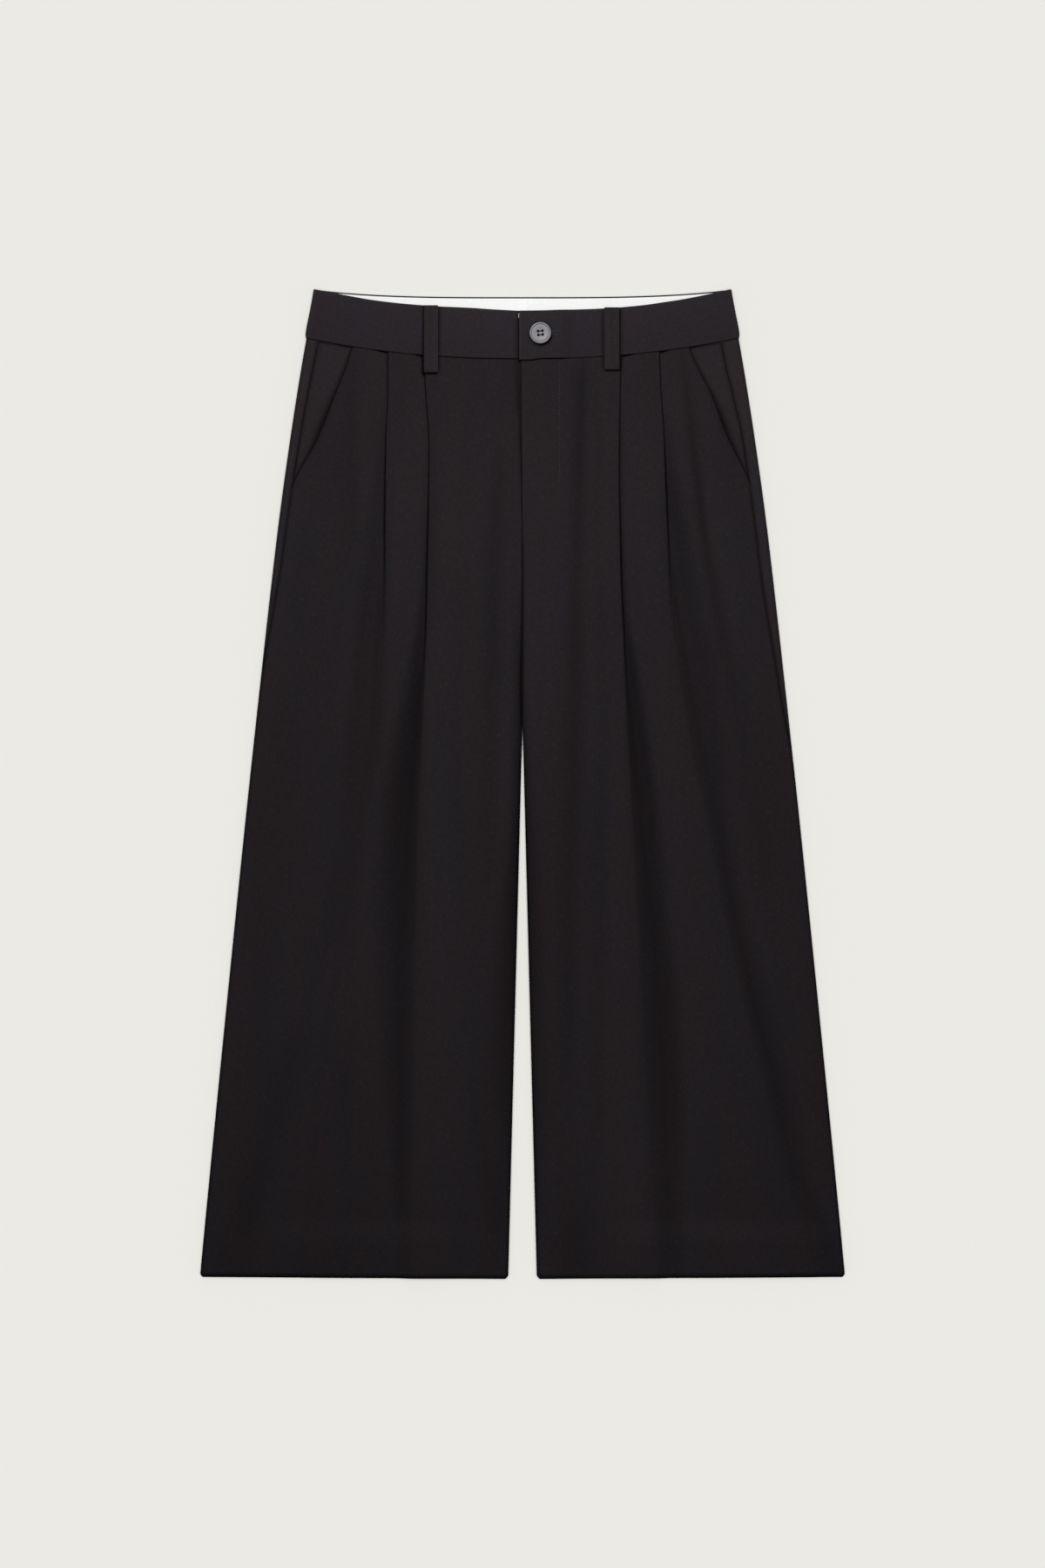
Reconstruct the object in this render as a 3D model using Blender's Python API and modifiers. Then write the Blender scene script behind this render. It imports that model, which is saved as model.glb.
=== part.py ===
"""Culottes laid flat, front up.

Two pleated fronts lie on two backs, with a facing in each pocket's mouth, a waistband in two halves with its
own facing, two belt loops and a button.

The garment lies on z = 0 with its waist at +Y. Every size below is in millimetres, and new_object turns the
finished points into metres. Places on the cloth are given as a garment maker would measure them:

    drop    how far down the garment, from the top of the waist at the side folds
    across  how far out from the centre line, on the leg's own side
    height  how far above the surface that the garment lies on, to the middle of the cloth's wall

"Right" and "left" are the wearer's, so the right leg lies at -X.
"""

import math

import bpy
import numpy as np

MM = 0.001

# The cloth and how it stacks
CLOTH = 1.0
SEAM_GAP = 0.3
LAYER = CLOTH + SEAM_GAP
TURN_RADIUS = LAYER / 2
BACK_HEIGHT = CLOTH / 2
FRONT_HEIGHT = BACK_HEIGHT + 3 * LAYER
FOLD_RADIUS = (FRONT_HEIGHT - BACK_HEIGHT) / 2
QUARTER_TURN = FOLD_RADIUS * math.pi / 2
FOLD_REACH = FOLD_RADIUS + CLOTH / 2
BEND_CLEARANCE = 0.3
BEND_NEAR = (-1.0, 0.5)

# Lengths down the garment
WAIST_TO_MIDDLE = 409.03
BAND_WIDTH = 40.0
CROTCH_DROP = 360.7
CROTCH_TURNS = (CROTCH_DROP + 2, CROTCH_DROP + 34)
INSEAM_SPREAD = 0.0256
HEM_DROP_INNER = 818.2
HEM_DROP_OUTER = 816.5
HEM_CORNER = 3.0
HEM_TURN_UP = 22.4
HEM_EASE = (768.0, 789.0)

# Curves of the waist, worked from the centre line to the side fold: each rises by a power of its place
WAIST_HALF = 172.8
SEAM_HALF = 178.0
BACK_DIP = 6.2
BACK_DIP_POWER = 3.4
FRONT_SEAM_DROP = 57.6
FRONT_SEAM_RISE = 16.9
FRONT_SEAM_POWER = 2.2
FLY_SAG = 1.3
FLY_SAGS = (5.0, 17.0)
BACK_SEAM_DROP = BACK_DIP + BAND_WIDTH
BACK_SEAM_RISE = 6.1
BACK_SEAM_POWER = 3.0
BACK_SEAM_END = 10.0

# The fly: the left front laps over the right one down to FLY_END. Its edge leans over the centre line from
# FLY_LEANS up, and below the waistband both fronts settle to their heights in the lap.
FLY_END = (186.0, 206.0)
FLY_LAP = 10.0
FLY_STRIP = 13.5
FLY_LEAN = 1.0
FLY_LEANS = (60.0, 200.0)
FLY_SETTLES = (57.0, 112.0)
FLY_MERGES = (216.0, 246.0)
FLY_HEIGHTS = {"right": (0.0, -1.3), "left": (1.5, 0.1)}
SEAM_HEIGHT = -0.6
SEAM_RISES = (300.0, CROTCH_DROP)

# The waistband's overlap at the centre front
BAND_LAP = 28.0
BAND_RAMP = (30.0, 46.0)
BAND_EDGE = -2.6
LAP_BELOW = 0.3
FACING_BELOW = 1.35
FACING_SHORT = 0.8

POCKET_UNDERLAP = 12.0
POCKET_FOOT = 171.0
POCKET_SINKS = (125.0, 158.0)
POCKET_CLEAR = 4.0

LOOP_INNER_EDGE = {"right": 69.8, "left": 67.6}
LOOP_WIDTH = {"right": 11.8, "left": 12.6}
LOOP_PROUD = 0.5
LOOP_FOOT_DROP = {"right": 69.3, "left": 67.0}
LOOP_TURN_UNDER = 8.0

BUTTON_RADIUS = 8.85
BUTTON_THICKNESS = 2.6
BUTTON_RIM = 1.5
BUTTON_DISH = 0.7
BUTTON_HOLE_RADIUS = 1.2
BUTTON_HOLE_SPACING = (3.6, 3.1)
BUTTON_HOLE_SIDES = 12
BUTTON_PLACE = (14.8, 36.7)
BUTTON_TILT = 5.0
BUTTON_STEPS = 28

COLOURS = {
    "suiting": ((0.018, 0.015, 0.018), 0.92),
    "facing": ((0.80, 0.80, 0.79), 0.85),
    "button": ((0.23, 0.22, 0.24), 0.38),
}


def table(columns, *rows):
    """Rows of numbers, as one array for each named column."""
    return dict(zip(columns.split(), np.array(rows, float).T))


HALF_WIDTH = table(
    "drop across",
    (40.7, 178.85),
    (63.4, 182.8),
    (106.6, 189.7),
    (149.8, 196.0),
    (193.0, 201.8),
    (236.0, 206.95),
    (279.0, 211.85),
    (373.0, 222.15),
    (445.0, 229.85),
    (589.0, 244.55),
    (733.0, 258.85),
    (808.0, 266.05),
    (817.0, 266.85),
)
BAND_HALF_WIDTH = table(
    "drop across",
    (0.0, WAIST_HALF),
    (10.0, 174.5),
    (20.0, 176.4),
    (33.5, 179.05),
    (37.5, 179.5),
    (41.0, 178.9),
)
# Drop of the waistband's top edge in front
FRONT_TOP = {
    "right": table(
        "across drop",
        (0.0, 18.1),
        (13.0, 17.4),
        (27.4, 16.6),
        (41.8, 15.6),
        (56.2, 14.9),
        (70.6, 14.3),
        (85.0, 13.2),
        (99.4, 12.0),
        (113.8, 10.4),
        (128.2, 8.4),
        (142.6, 5.8),
        (157.0, 3.0),
        (172.8, 0.0),
    ),
    "left": table(
        "across drop",
        (0.0, 18.1),
        (15.8, 17.9),
        (30.2, 17.4),
        (44.6, 16.9),
        (59.0, 16.4),
        (73.4, 15.7),
        (87.8, 14.5),
        (102.2, 13.0),
        (116.6, 10.9),
        (131.0, 8.7),
        (145.4, 6.0),
        (159.8, 2.9),
        (172.8, 0.0),
    ),
}

# How far inside the outline the side seam lies on the front
SIDE_SEAM = {
    "right": table(
        "drop inset",
        (40.0, 10.3),
        (125.0, 7.9),
        (228.0, 6.3),
        (264.0, 4.3),
        (309.0, 1.2),
        (345.0, 0.0),
        (815.0, 0.0),
    ),
    "left": table(
        "drop inset",
        (40.0, 14.8),
        (63.0, 14.6),
        (84.0, 12.8),
        (127.0, 10.0),
        (242.0, 9.4),
        (300.0, 6.5),
        (348.0, 3.8),
        (392.0, 0.0),
        (815.0, 0.0),
    ),
}

# The slanted edge of the front over the pocket facing, which runs on past the side seam and ends there
POCKET_EDGE = {
    "right": table(
        "drop across",
        (40.0, 138.0),
        (59.8, 144.0),
        (93.6, 157.0),
        (126.7, 170.6),
        (153.4, 185.8),
        (166.0, 191.5),
        (180.0, 215.0),
        (215.0, 300.0),
    ),
    "left": table(
        "drop across",
        (40.0, 134.5),
        (59.8, 141.8),
        (88.6, 156.2),
        (121.0, 168.5),
        (149.8, 182.9),
        (162.0, 189.0),
        (176.0, 215.0),
        (215.0, 300.0),
    ),
}
# How far the front's edge stands off the pocket facing
POCKET_MOUTH = table(
    "drop lift",
    (40.0, 0.0),
    (75.0, 0.5),
    (112.0, 1.5),
    (150.0, 0.3),
    (165.0, 0.0),
    (815.0, 0.0),
)

# Pleats, from the waist to the hem. turn is how far the cloth turns at the fold, in degrees: 180 is a pressed
# pleat, with underlay millimetres of cloth folded back under it, and less is a crease with its outer slope.
# lift is how far the valley beside it stays above the cloth below.
PLEAT_COLUMNS = "drop across turn underlay fold_radius valley_radius lift"
PLEATS = {
    "right": (
        table(
            PLEAT_COLUMNS,
            (38, 81.5, 180, 13.0, 0.65, 0.65, 0.0),
            (80, 79.8, 180, 13.0, 0.65, 0.65, 0.0),
            (130, 76.8, 180, 12.0, 0.65, 0.65, 0.0),
            (180, 77.2, 172, 9.0, 0.7, 0.8, 0.0),
            (222, 77.9, 145, 4.5, 0.8, 1.2, 0.2),
            (275, 79.1, 95, 2.0, 0.9, 2.2, 0.3),
            (337, 82.0, 50, 5.0, 2.0, 6.0, 0.4),
            (445, 87.0, 30, 8.0, 4.0, 14.0, 0.4),
            (553, 90.0, 24, 10.0, 5.0, 20.0, 0.4),
            (700, 92.0, 18, 10.0, 7.0, 22.0, 0.3),
            (817, 93.0, 12, 9.0, 8.0, 22.0, 0.0),
        ),
        table(
            PLEAT_COLUMNS,
            (38, 110.9, 180, 13.0, 0.65, 0.65, 0.0),
            (85, 110.9, 180, 12.0, 0.65, 0.65, 0.0),
            (125, 112.4, 176, 9.0, 0.65, 0.7, 0.0),
            (165, 112.8, 155, 4.5, 0.8, 1.0, 0.0),
            (222, 113.2, 80, 2.0, 1.5, 3.5, 0.2),
            (300, 116.0, 30, 4.0, 8.0, 12.0, 0.5),
            (373, 120.0, 20, 5.0, 14.0, 18.0, 0.8),
            (445, 131.0, 14, 6.0, 16.0, 18.0, 0.8),
            (517, 142.0, 11, 6.0, 16.0, 18.0, 0.8),
            (639, 162.0, 9, 6.0, 16.0, 18.0, 0.8),
            (817, 180.0, 6, 5.0, 14.0, 14.0, 0.0),
        ),
    ),
    "left": (
        table(
            PLEAT_COLUMNS,
            (38, 82.1, 180, 13.0, 0.65, 0.65, 0.0),
            (84, 80.2, 180, 13.0, 0.65, 0.65, 0.0),
            (155, 79.6, 180, 12.0, 0.65, 0.65, 0.0),
            (200, 80.2, 172, 9.0, 0.7, 0.8, 0.0),
            (240, 80.9, 145, 4.5, 0.8, 1.2, 0.2),
            (290, 83.4, 95, 2.0, 0.9, 2.2, 0.3),
            (337, 85.6, 58, 4.0, 2.0, 4.0, 0.3),
            (445, 92.0, 34, 8.0, 5.0, 8.0, 0.3),
            (589, 100.0, 22, 14.0, 8.0, 12.0, 0.3),
            (733, 108.0, 16, 12.0, 10.0, 14.0, 0.2),
            (817, 113.0, 10, 8.0, 10.0, 12.0, 0.0),
        ),
        table(
            PLEAT_COLUMNS,
            (38, 112.3, 180, 13.0, 0.65, 0.65, 0.0),
            (78, 113.6, 180, 12.0, 0.65, 0.65, 0.0),
            (123, 116.6, 176, 9.0, 0.65, 0.7, 0.0),
            (160, 117.6, 155, 4.5, 0.8, 1.2, 0.0),
            (200, 119.4, 95, 1.6, 1.0, 3.0, 0.2),
            (260, 122.5, 46, 4.0, 3.0, 7.0, 0.4),
            (308, 129.5, 34, 6.0, 5.0, 10.0, 0.5),
            (373, 140.0, 27, 8.0, 8.0, 12.0, 0.5),
            (445, 155.0, 25, 8.0, 9.0, 14.0, 0.5),
            (517, 168.0, 23, 8.0, 10.0, 14.0, 0.5),
            (589, 184.0, 22, 8.0, 10.0, 14.0, 0.5),
            (661, 202.0, 20, 8.0, 10.0, 14.0, 0.5),
            (733, 218.0, 17, 7.0, 10.0, 12.0, 0.4),
            (783, 234.0, 12, 5.0, 10.0, 9.0, 0.2),
            (817, 242.0, 8, 4.0, 10.0, 8.0, 0.0),
        ),
    ),
}

# How far past a folded underlay the cloth above it stays level
PLEAT_CLEAR = 2.0

# Soft folds between the pleats: ridges where rise is above zero, troughs where it is below
FOLD_COLUMNS = "drop across half_width rise"
SOFT_FOLDS = {
    "right": (
        table(
            FOLD_COLUMNS,
            (130, 18, 8, 0),
            (193, 23.8, 9, -1.3),
            (250, 25.2, 10, -1.7),
            (308, 26.6, 10, -1.7),
            (373, 30.2, 11, -1.0),
            (470, 29, 12, 0),
        ),
        table(
            FOLD_COLUMNS,
            (215, 46, 8, 0),
            (280, 45, 9, -0.9),
            (345, 45, 9, -0.8),
            (410, 46, 9, 0),
        ),
        table(
            FOLD_COLUMNS,
            (560, 44, 16, 0),
            (680, 36, 15, -1.2),
            (760, 30, 13, -1.6),
            (817, 28, 12, 0),
        ),
        table(
            FOLD_COLUMNS,
            (610, 186, 12, 0),
            (690, 209, 13, -1.6),
            (755, 229, 13, -1.5),
            (812, 246, 11, 0),
        ),
        table(
            FOLD_COLUMNS,
            (300, 185, 14, 0),
            (420, 192, 18, 1.2),
            (560, 204, 18, 1.0),
            (680, 216, 16, 0),
        ),
    ),
    "left": (
        table(
            FOLD_COLUMNS,
            (58, 50.5, 6, 0),
            (80, 50, 7, -1.4),
            (193, 46.8, 8, -2.0),
            (308, 45.4, 9, -2.0),
            (400, 42.5, 10, -1.7),
            (500, 38.5, 12, -1.0),
            (560, 36, 12, 0),
        ),
        table(
            FOLD_COLUMNS,
            (350, 27, 15, 0),
            (440, 25, 16, -2.0),
            (540, 22, 15, -2.0),
            (640, 22, 14, 0),
        ),
        table(
            FOLD_COLUMNS,
            (410, 64, 7, 0),
            (520, 65, 8, -1.1),
            (700, 64, 8, -1.1),
            (790, 64, 8, 0),
        ),
        table(
            FOLD_COLUMNS,
            (170, 145, 7, 0),
            (225, 151, 8, -1.3),
            (300, 163, 9, -1.4),
            (370, 176, 10, 0),
        ),
        table(
            FOLD_COLUMNS,
            (330, 162, 10, 0),
            (420, 179, 11, 1.8),
            (520, 199, 12, 2.0),
            (640, 223, 11, 0),
        ),
    ),
}

# Spans of cloth between the folds, and how many faces each is made of
INNER_FACES = 3
SPAN_FACES = (9, 6, 7)
TURN_FACES = 3
UNDERLAY_FACES = 2
OUTER_FACES = 3
BACK_FACES = 4
FOLD_FACES = 6
STRIP_FACES = 2
POCKET_ROWS = 9
POCKET_COLUMNS = 5
BAND_ROWS = 3
BAND_FACES = 8
BAND_RAMP_FACES = 4
RISE_MARGIN = 1.5
LONGEST_RISE = (58.0, 32.0, 42.0)

# Rows of a leg panel as parts of the way from the waist seam to the hem, closest where the pleats open
LEG_ROWS = (
    0.0, 0.03, 0.07, 0.11, 0.145, 0.18, 0.21, 0.24, 0.275, 0.32, 0.37, 0.41, 0.45,
    0.52, 0.60, 0.68, 0.76, 0.84, 0.90, 0.94, 0.966,
)  # fmt: skip
HEM_TURN_FACES = 3
LOOP_TURN_FACES = 4
LOOP_FACES = 5
LOOP_COLUMNS = 2

# A place's drop and across depend on each other, so they are worked out in turn, this many times
PASSES = 4


def along(columns, name, place, key="drop"):
    """One column of a table read at any place, by a smooth curve that never passes its rows' values."""
    places, values = columns[key], columns[name]
    steps = np.diff(values) / np.diff(places)
    same_way = steps[:-1] * steps[1:] > 0
    slopes = np.concatenate([steps[:1], np.zeros(len(steps) - 1), steps[-1:]])
    slopes[1:-1][same_way] = 2 / (1 / steps[:-1][same_way] + 1 / steps[1:][same_way])
    row = np.clip(np.searchsorted(places, place) - 1, 0, len(places) - 2)
    span = places[row + 1] - places[row]
    part = np.clip((place - places[row]) / span, 0, 1)
    return (
        values[row] * (1 + 2 * part) * (1 - part) ** 2
        + values[row + 1] * part**2 * (3 - 2 * part)
        + span * part * (1 - part) * (slopes[row] * (1 - part) - slopes[row + 1] * part)
    )


def ease(value, start, stop):
    """0 before start, 1 after stop, and a smooth step between them."""
    part = np.clip((value - start) / np.maximum(stop - start, 1e-6), 0, 1)
    return part**2 * (3 - 2 * part)


# Outline


def inner_edge(drop):
    """Half the space between the two sides: a seam's gap to the crotch, then the space between the legs."""
    return SEAM_GAP / 2 + INSEAM_SPREAD * np.maximum(drop - CROTCH_DROP, 0)


def front_seam(side, across):
    """Drop of the waist seam in front, which sags a little beside the fly on the left."""
    seam = FRONT_SEAM_DROP - FRONT_SEAM_RISE * (np.abs(across) / SEAM_HALF) ** FRONT_SEAM_POWER
    return seam + FLY_SAG * (1 - ease(across, *FLY_SAGS)) if side == "left" else seam


def back_seam(across):
    return BACK_SEAM_DROP - BACK_SEAM_RISE * (np.abs(across) / SEAM_HALF) ** BACK_SEAM_POWER


def hem_line(across):
    """Drop of the hem: a straight line from the inseam to the side, rounded where it meets them."""
    inner, outer = inner_edge(HEM_DROP_INNER), along(HALF_WIDTH, "across", HEM_DROP_OUTER)
    slope = (HEM_DROP_OUTER - HEM_DROP_INNER) / (outer - inner)
    from_edge = np.clip(np.minimum(outer - across, across - inner), 0, HEM_CORNER)
    return HEM_DROP_INNER + slope * (across - inner) - HEM_CORNER * (1 - from_edge / HEM_CORNER) ** 2


def crotch_turn(drop):
    """How far the inner edges turn towards each other, in radians: flat above the crotch, a quarter below."""
    return (math.pi / 2 - BEND_CLEARANCE / FOLD_RADIUS) * ease(drop, *CROTCH_TURNS)


# Paths across the garment. Each gives (across, height) at arrays of places.


def side_fold(path, outline, radius=FOLD_RADIUS, reach=FOLD_REACH):
    """The cloth round the side fold: flat on top while path is below 0, half a turn, flat underneath."""
    angle = np.clip(path / radius, 0, math.pi)
    past = np.minimum(path, 0) - np.maximum(path - math.pi * radius, 0)
    across = outline - reach + past + radius * np.sin(angle)
    return across, FRONT_HEIGHT - FOLD_RADIUS + radius * np.cos(angle)


def seam_path(side, drop):
    """Where the side seam lies on the path of side_fold."""
    inset = along(SIDE_SEAM[side], "inset", drop)
    on_bend = np.arcsin(np.clip(1 - inset / FOLD_REACH, 0, 1)) * FOLD_RADIUS
    return np.where(inset > FOLD_REACH, FOLD_REACH - inset, on_bend)


def seam_clearance(path):
    """Half the gap of the side seam: the square ends of the cloth need more of it on the bend."""
    return SEAM_GAP / 2 + (BEND_CLEARANCE - SEAM_GAP / 2) * ease(path, *BEND_NEAR)


def front_end_path(side, drop):
    """Where the front's outer edge lies on that path: at the pocket's slant, then at the side seam."""
    outline = along(HALF_WIDTH, "across", drop)
    slant = along(POCKET_EDGE[side], "across", drop) - (outline - FOLD_REACH)
    seam = seam_path(side, drop)
    return np.minimum(seam - seam_clearance(seam), slant)


def bent_edge(part, length, end, height, turn, upward):
    """A panel's inner strip. part runs from 0 at its edge to 1, and the edge turns up or down by turn."""
    path = part * length
    left_to_turn = np.maximum(turn - path / FOLD_RADIUS, 0)
    flat = np.maximum(path - FOLD_RADIUS * turn, 0)
    across = end + FOLD_RADIUS * (np.sin(turn) - np.sin(left_to_turn)) + flat
    dip = FOLD_RADIUS * (1 - np.cos(left_to_turn))
    return across, height + dip if upward else height - dip


def fly_open(drop):
    """1 down the fly and 0 below it."""
    return 1 - ease(drop, *FLY_END)


def front_inner(side, part, drop):
    """The front's inner strip: the fly's lap at the top, the centre seam under it, the inseam of the leg."""
    turn = crotch_turn(drop)
    fly = fly_open(drop)
    lap = -FLY_LEAN * (1 - ease(drop, *FLY_LEANS)) if side == "left" else -(FLY_LAP + SEAM_GAP / 2)
    end = inner_edge(drop) + lap * fly + CLOTH / 2 * np.sin(turn)
    length = QUARTER_TURN + (FLY_STRIP - QUARTER_TURN) * fly
    return bent_edge(part, length, end, front_inner_height(side, drop), turn, False)


def front_inner_height(side, drop):
    """Height of the front along the centre: lapped at the fly, a little lower below it, level at the legs."""
    waist, lapped = FLY_HEIGHTS[side]
    at_fly = waist + (lapped - waist) * ease(drop, *FLY_SETTLES)
    below = at_fly + (SEAM_HEIGHT - at_fly) * ease(drop, *FLY_MERGES)
    return FRONT_HEIGHT + below * (1 - ease(drop, *SEAM_RISES))


def pleat_numbers(pleat, drop):
    """What a pleat is at a drop: its turn in radians, its sizes, its heights, and where it starts and ends.

    lap is how far its underlay reaches back under it.
    """
    turn = np.radians(along(pleat, "turn", drop))
    underlay = along(pleat, "underlay", drop)
    fold = along(pleat, "fold_radius", drop)
    valley = along(pleat, "valley_radius", drop)
    low = floor_height(drop) + along(pleat, "lift", drop)
    high = low + (fold + valley) * (1 - np.cos(turn)) + underlay * np.sin(turn)
    edge = along(pleat, "across", drop)
    start = edge - fold * np.sin(np.minimum(turn, math.pi / 2))
    end = start + (fold + valley) * np.sin(turn) + underlay * np.cos(turn)
    lap = np.maximum(-underlay * np.cos(turn), 0) + PLEAT_CLEAR * (turn > math.pi / 2)
    return {
        "turn": turn,
        "underlay": underlay,
        "fold": fold,
        "valley": valley,
        "low": low,
        "high": high,
        "edge": edge,
        "start": start,
        "end": end,
        "lap": lap,
    }


def floor_height(drop):
    """The lowest that a front may lie: on the back, and near the hem on both turned-up hems."""
    return BACK_HEIGHT + LAYER + 2 * LAYER * ease(drop, *HEM_EASE)


def pleat_fold(pleat, part, drop):
    """The turn at a pleat's edge."""
    numbers = pleat_numbers(pleat, drop)
    angle = numbers["turn"] * part
    across = numbers["start"] + numbers["fold"] * np.sin(angle)
    return across, numbers["high"] - numbers["fold"] * (1 - np.cos(angle))


def pleat_underlay(pleat, part, drop):
    """The straight cloth between a pleat's two turns."""
    across, height = pleat_fold(pleat, np.ones_like(part), drop)
    numbers = pleat_numbers(pleat, drop)
    path = numbers["underlay"] * part
    return across + path * np.cos(numbers["turn"]), height - path * np.sin(numbers["turn"])


def pleat_valley(pleat, part, drop):
    """The turn back at the foot of a pleat, or the valley beside a crease."""
    numbers = pleat_numbers(pleat, drop)
    angle = numbers["turn"] * (1 - part)
    across = numbers["end"] - numbers["valley"] * np.sin(angle)
    return across, numbers["low"] + numbers["valley"] * (1 - np.cos(angle))


def span(side, number, part, drop):
    """The cloth between two folds: it goes smoothly from one height to the next, with soft folds on it."""
    inner_pleat, outer_pleat = PLEATS[side]
    if number == 0:
        start, low = front_inner(side, np.ones_like(part), drop)
        rise_from = start
    else:
        before = pleat_numbers(PLEATS[side][number - 1], drop)
        start, low = before["end"], before["low"]
        rise_from = np.maximum(start, before["edge"] + RISE_MARGIN)
    if number == 2:
        outline = along(HALF_WIDTH, "across", drop)
        path = front_end_path(side, drop) - QUARTER_TURN
        stop, high = side_fold(path, outline)
        high = high + along(POCKET_MOUTH, "lift", drop)
        facing_edge = along(POCKET_EDGE[side], "across", drop) - POCKET_UNDERLAP - RISE_MARGIN
        rise_to = np.where(drop < POCKET_FOOT + POCKET_CLEAR, np.minimum(stop, facing_edge), stop)
        rise_to = np.minimum(rise_to, rise_from + LONGEST_RISE[2])
    else:
        after = pleat_numbers(outer_pleat if number else inner_pleat, drop)
        stop, high = after["start"], after["high"]
        rise_to = stop - after["lap"]
        if number:
            rise_to = np.minimum(rise_to, rise_from + LONGEST_RISE[1])
        else:
            rise_from = np.maximum(rise_from, rise_to - LONGEST_RISE[0])
    across = start + part * (stop - start)
    height = low + (high - low) * ease(across, rise_from, rise_to)
    fade = 1 - (2 * part - 1) ** 8
    for fold in SOFT_FOLDS[side]:
        offset = (across - along(fold, "across", drop)) / along(fold, "half_width", drop)
        height = height + fade * along(fold, "rise", drop) * np.exp(-(offset**2))
    return across, np.maximum(height, floor_height(drop))


def front_outer(side, part, drop):
    """The front's outer strip, to the pocket's slant or round the side fold to the side seam."""
    outline = along(HALF_WIDTH, "across", drop)
    across, height = side_fold(front_end_path(side, drop) - QUARTER_TURN * (1 - part), outline)
    return across, height + along(POCKET_MOUTH, "lift", drop)


def back_bottom(part, drop):
    """The back's flat cloth, which rests on the surface."""
    start, _ = back_inner(np.ones_like(part), drop)
    stop = along(HALF_WIDTH, "across", drop) - FOLD_REACH
    return start + part * (stop - start), np.full_like(part * drop, BACK_HEIGHT)


def back_inner(part, drop):
    """The back's inner strip: the centre back seam, and under the leg a turn up to the inseam."""
    turn = crotch_turn(drop)
    end = inner_edge(drop) + CLOTH / 2 * np.sin(turn)
    return bent_edge(part, QUARTER_TURN, end, BACK_HEIGHT, turn, True)


def back_fold(side, part, drop):
    """The back's cloth going up round the side fold."""
    start = math.pi * FOLD_RADIUS
    path = start + part * (back_strip_start(side, drop) - start)
    return side_fold(path, along(HALF_WIDTH, "across", drop))


def back_strip(side, part, drop):
    """The back's last strip, which lies on the front and ends at the side seam."""
    start = back_strip_start(side, drop)
    seam = seam_path(side, drop)
    stop = seam + seam_clearance(seam)
    return side_fold(start + part * (stop - start), along(HALF_WIDTH, "across", drop))


def back_strip_start(side, drop):
    return np.maximum(seam_path(side, drop) + 2 * BEND_CLEARANCE, 0)


def parts(faces, first=False):
    """Places from 0 to 1 along a stretch, without 0 unless it is the first stretch."""
    places = np.linspace(0, 1, faces + 1)
    return places if first else places[1:]


def across_panel(stretches, drop):
    """Across and height of every column at its own drop, stretch by stretch."""
    across, height = np.empty_like(drop), np.empty_like(drop)
    column = 0
    for stretch, places in stretches:
        columns = slice(column, column + len(places))
        part = np.broadcast_to(places, drop[:, columns].shape)
        across[:, columns], height[:, columns] = stretch(part, drop[:, columns])
        column += len(places)
    return across, height


def panel(stretches, top_line, outside):
    """A leg panel's points, as rows from the waist seam to the hem and back up inside it.

    Each row is a part of the way from the waist seam to the hem. The last rows turn round the hem: they move
    inwards, at right angles to the cloth, by one layer, and go up again by the turned-up hem. outside is 1 on
    a front, whose outer face looks up, and -1 on a back, whose outer face looks down.
    """
    columns = sum(len(places) for _, places in stretches)
    hem_fold = CLOTH / 2 + TURN_RADIUS
    turned_up = (HEM_TURN_UP / 2 - hem_fold, HEM_TURN_UP - hem_fold)
    turning = math.pi * parts(HEM_TURN_FACES)
    on_leg = np.zeros(len(LEG_ROWS) + 1)
    down = np.concatenate([LEG_ROWS, np.ones(1 + len(turning) + len(turned_up))])
    inward = np.concatenate([on_leg, TURN_RADIUS * (1 - np.cos(turning)), np.full(len(turned_up), LAYER)])
    back_up = np.concatenate([on_leg, -TURN_RADIUS * np.sin(turning), turned_up])
    down, inward, back_up = down[:, None], inward[:, None], back_up[:, None]
    drop = np.full((len(down), columns), WAIST_TO_MIDDLE)
    for _ in range(PASSES):
        across, height = across_panel(stretches, drop)
        top = top_line(across) + SEAM_GAP / 2
        drop = top + down * (hem_line(across) - hem_fold - top) - back_up
    sideways, upward = square_to(across, height)
    return across - outside * inward * sideways, drop, height - outside * inward * upward


def square_to(across, height):
    """The direction at right angles to each row at each of its points.

    It is the mean of the two faces beside the point, lengthened to keep offset cloth at its distance from
    both.
    """
    run, climb = np.diff(across), np.diff(height)
    length = np.hypot(run, climb)
    side_x, side_z = -climb / length, run / length
    before = np.pad(side_x, ((0, 0), (1, 0)), "edge"), np.pad(side_z, ((0, 0), (1, 0)), "edge")
    after = np.pad(side_x, ((0, 0), (0, 1)), "edge"), np.pad(side_z, ((0, 0), (0, 1)), "edge")
    mean_x, mean_z = before[0] + after[0], before[1] + after[1]
    stretch = 2 / (mean_x**2 + mean_z**2)
    return mean_x * stretch, mean_z * stretch


# Objects


def material(name):
    colour, roughness = COLOURS[name]
    made = bpy.data.materials.new(name)
    made.use_nodes = True
    surface = made.node_tree.nodes["Principled BSDF"]
    surface.inputs["Base Color"].default_value = (*colour, 1.0)
    surface.inputs["Roughness"].default_value = roughness
    surface.inputs["Metallic"].default_value = 0.0
    return made


def new_object(name, points, faces, finish, collection):
    """A mesh object from points in millimetres."""
    mesh = bpy.data.meshes.new(name)
    mesh.from_pydata((np.asarray(points) * MM).tolist(), [], faces.tolist() if len(faces) else [])
    mesh.materials.append(finish)
    mesh.update()
    made = bpy.data.objects.new(name, mesh)
    collection.objects.link(made)
    return made


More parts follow.
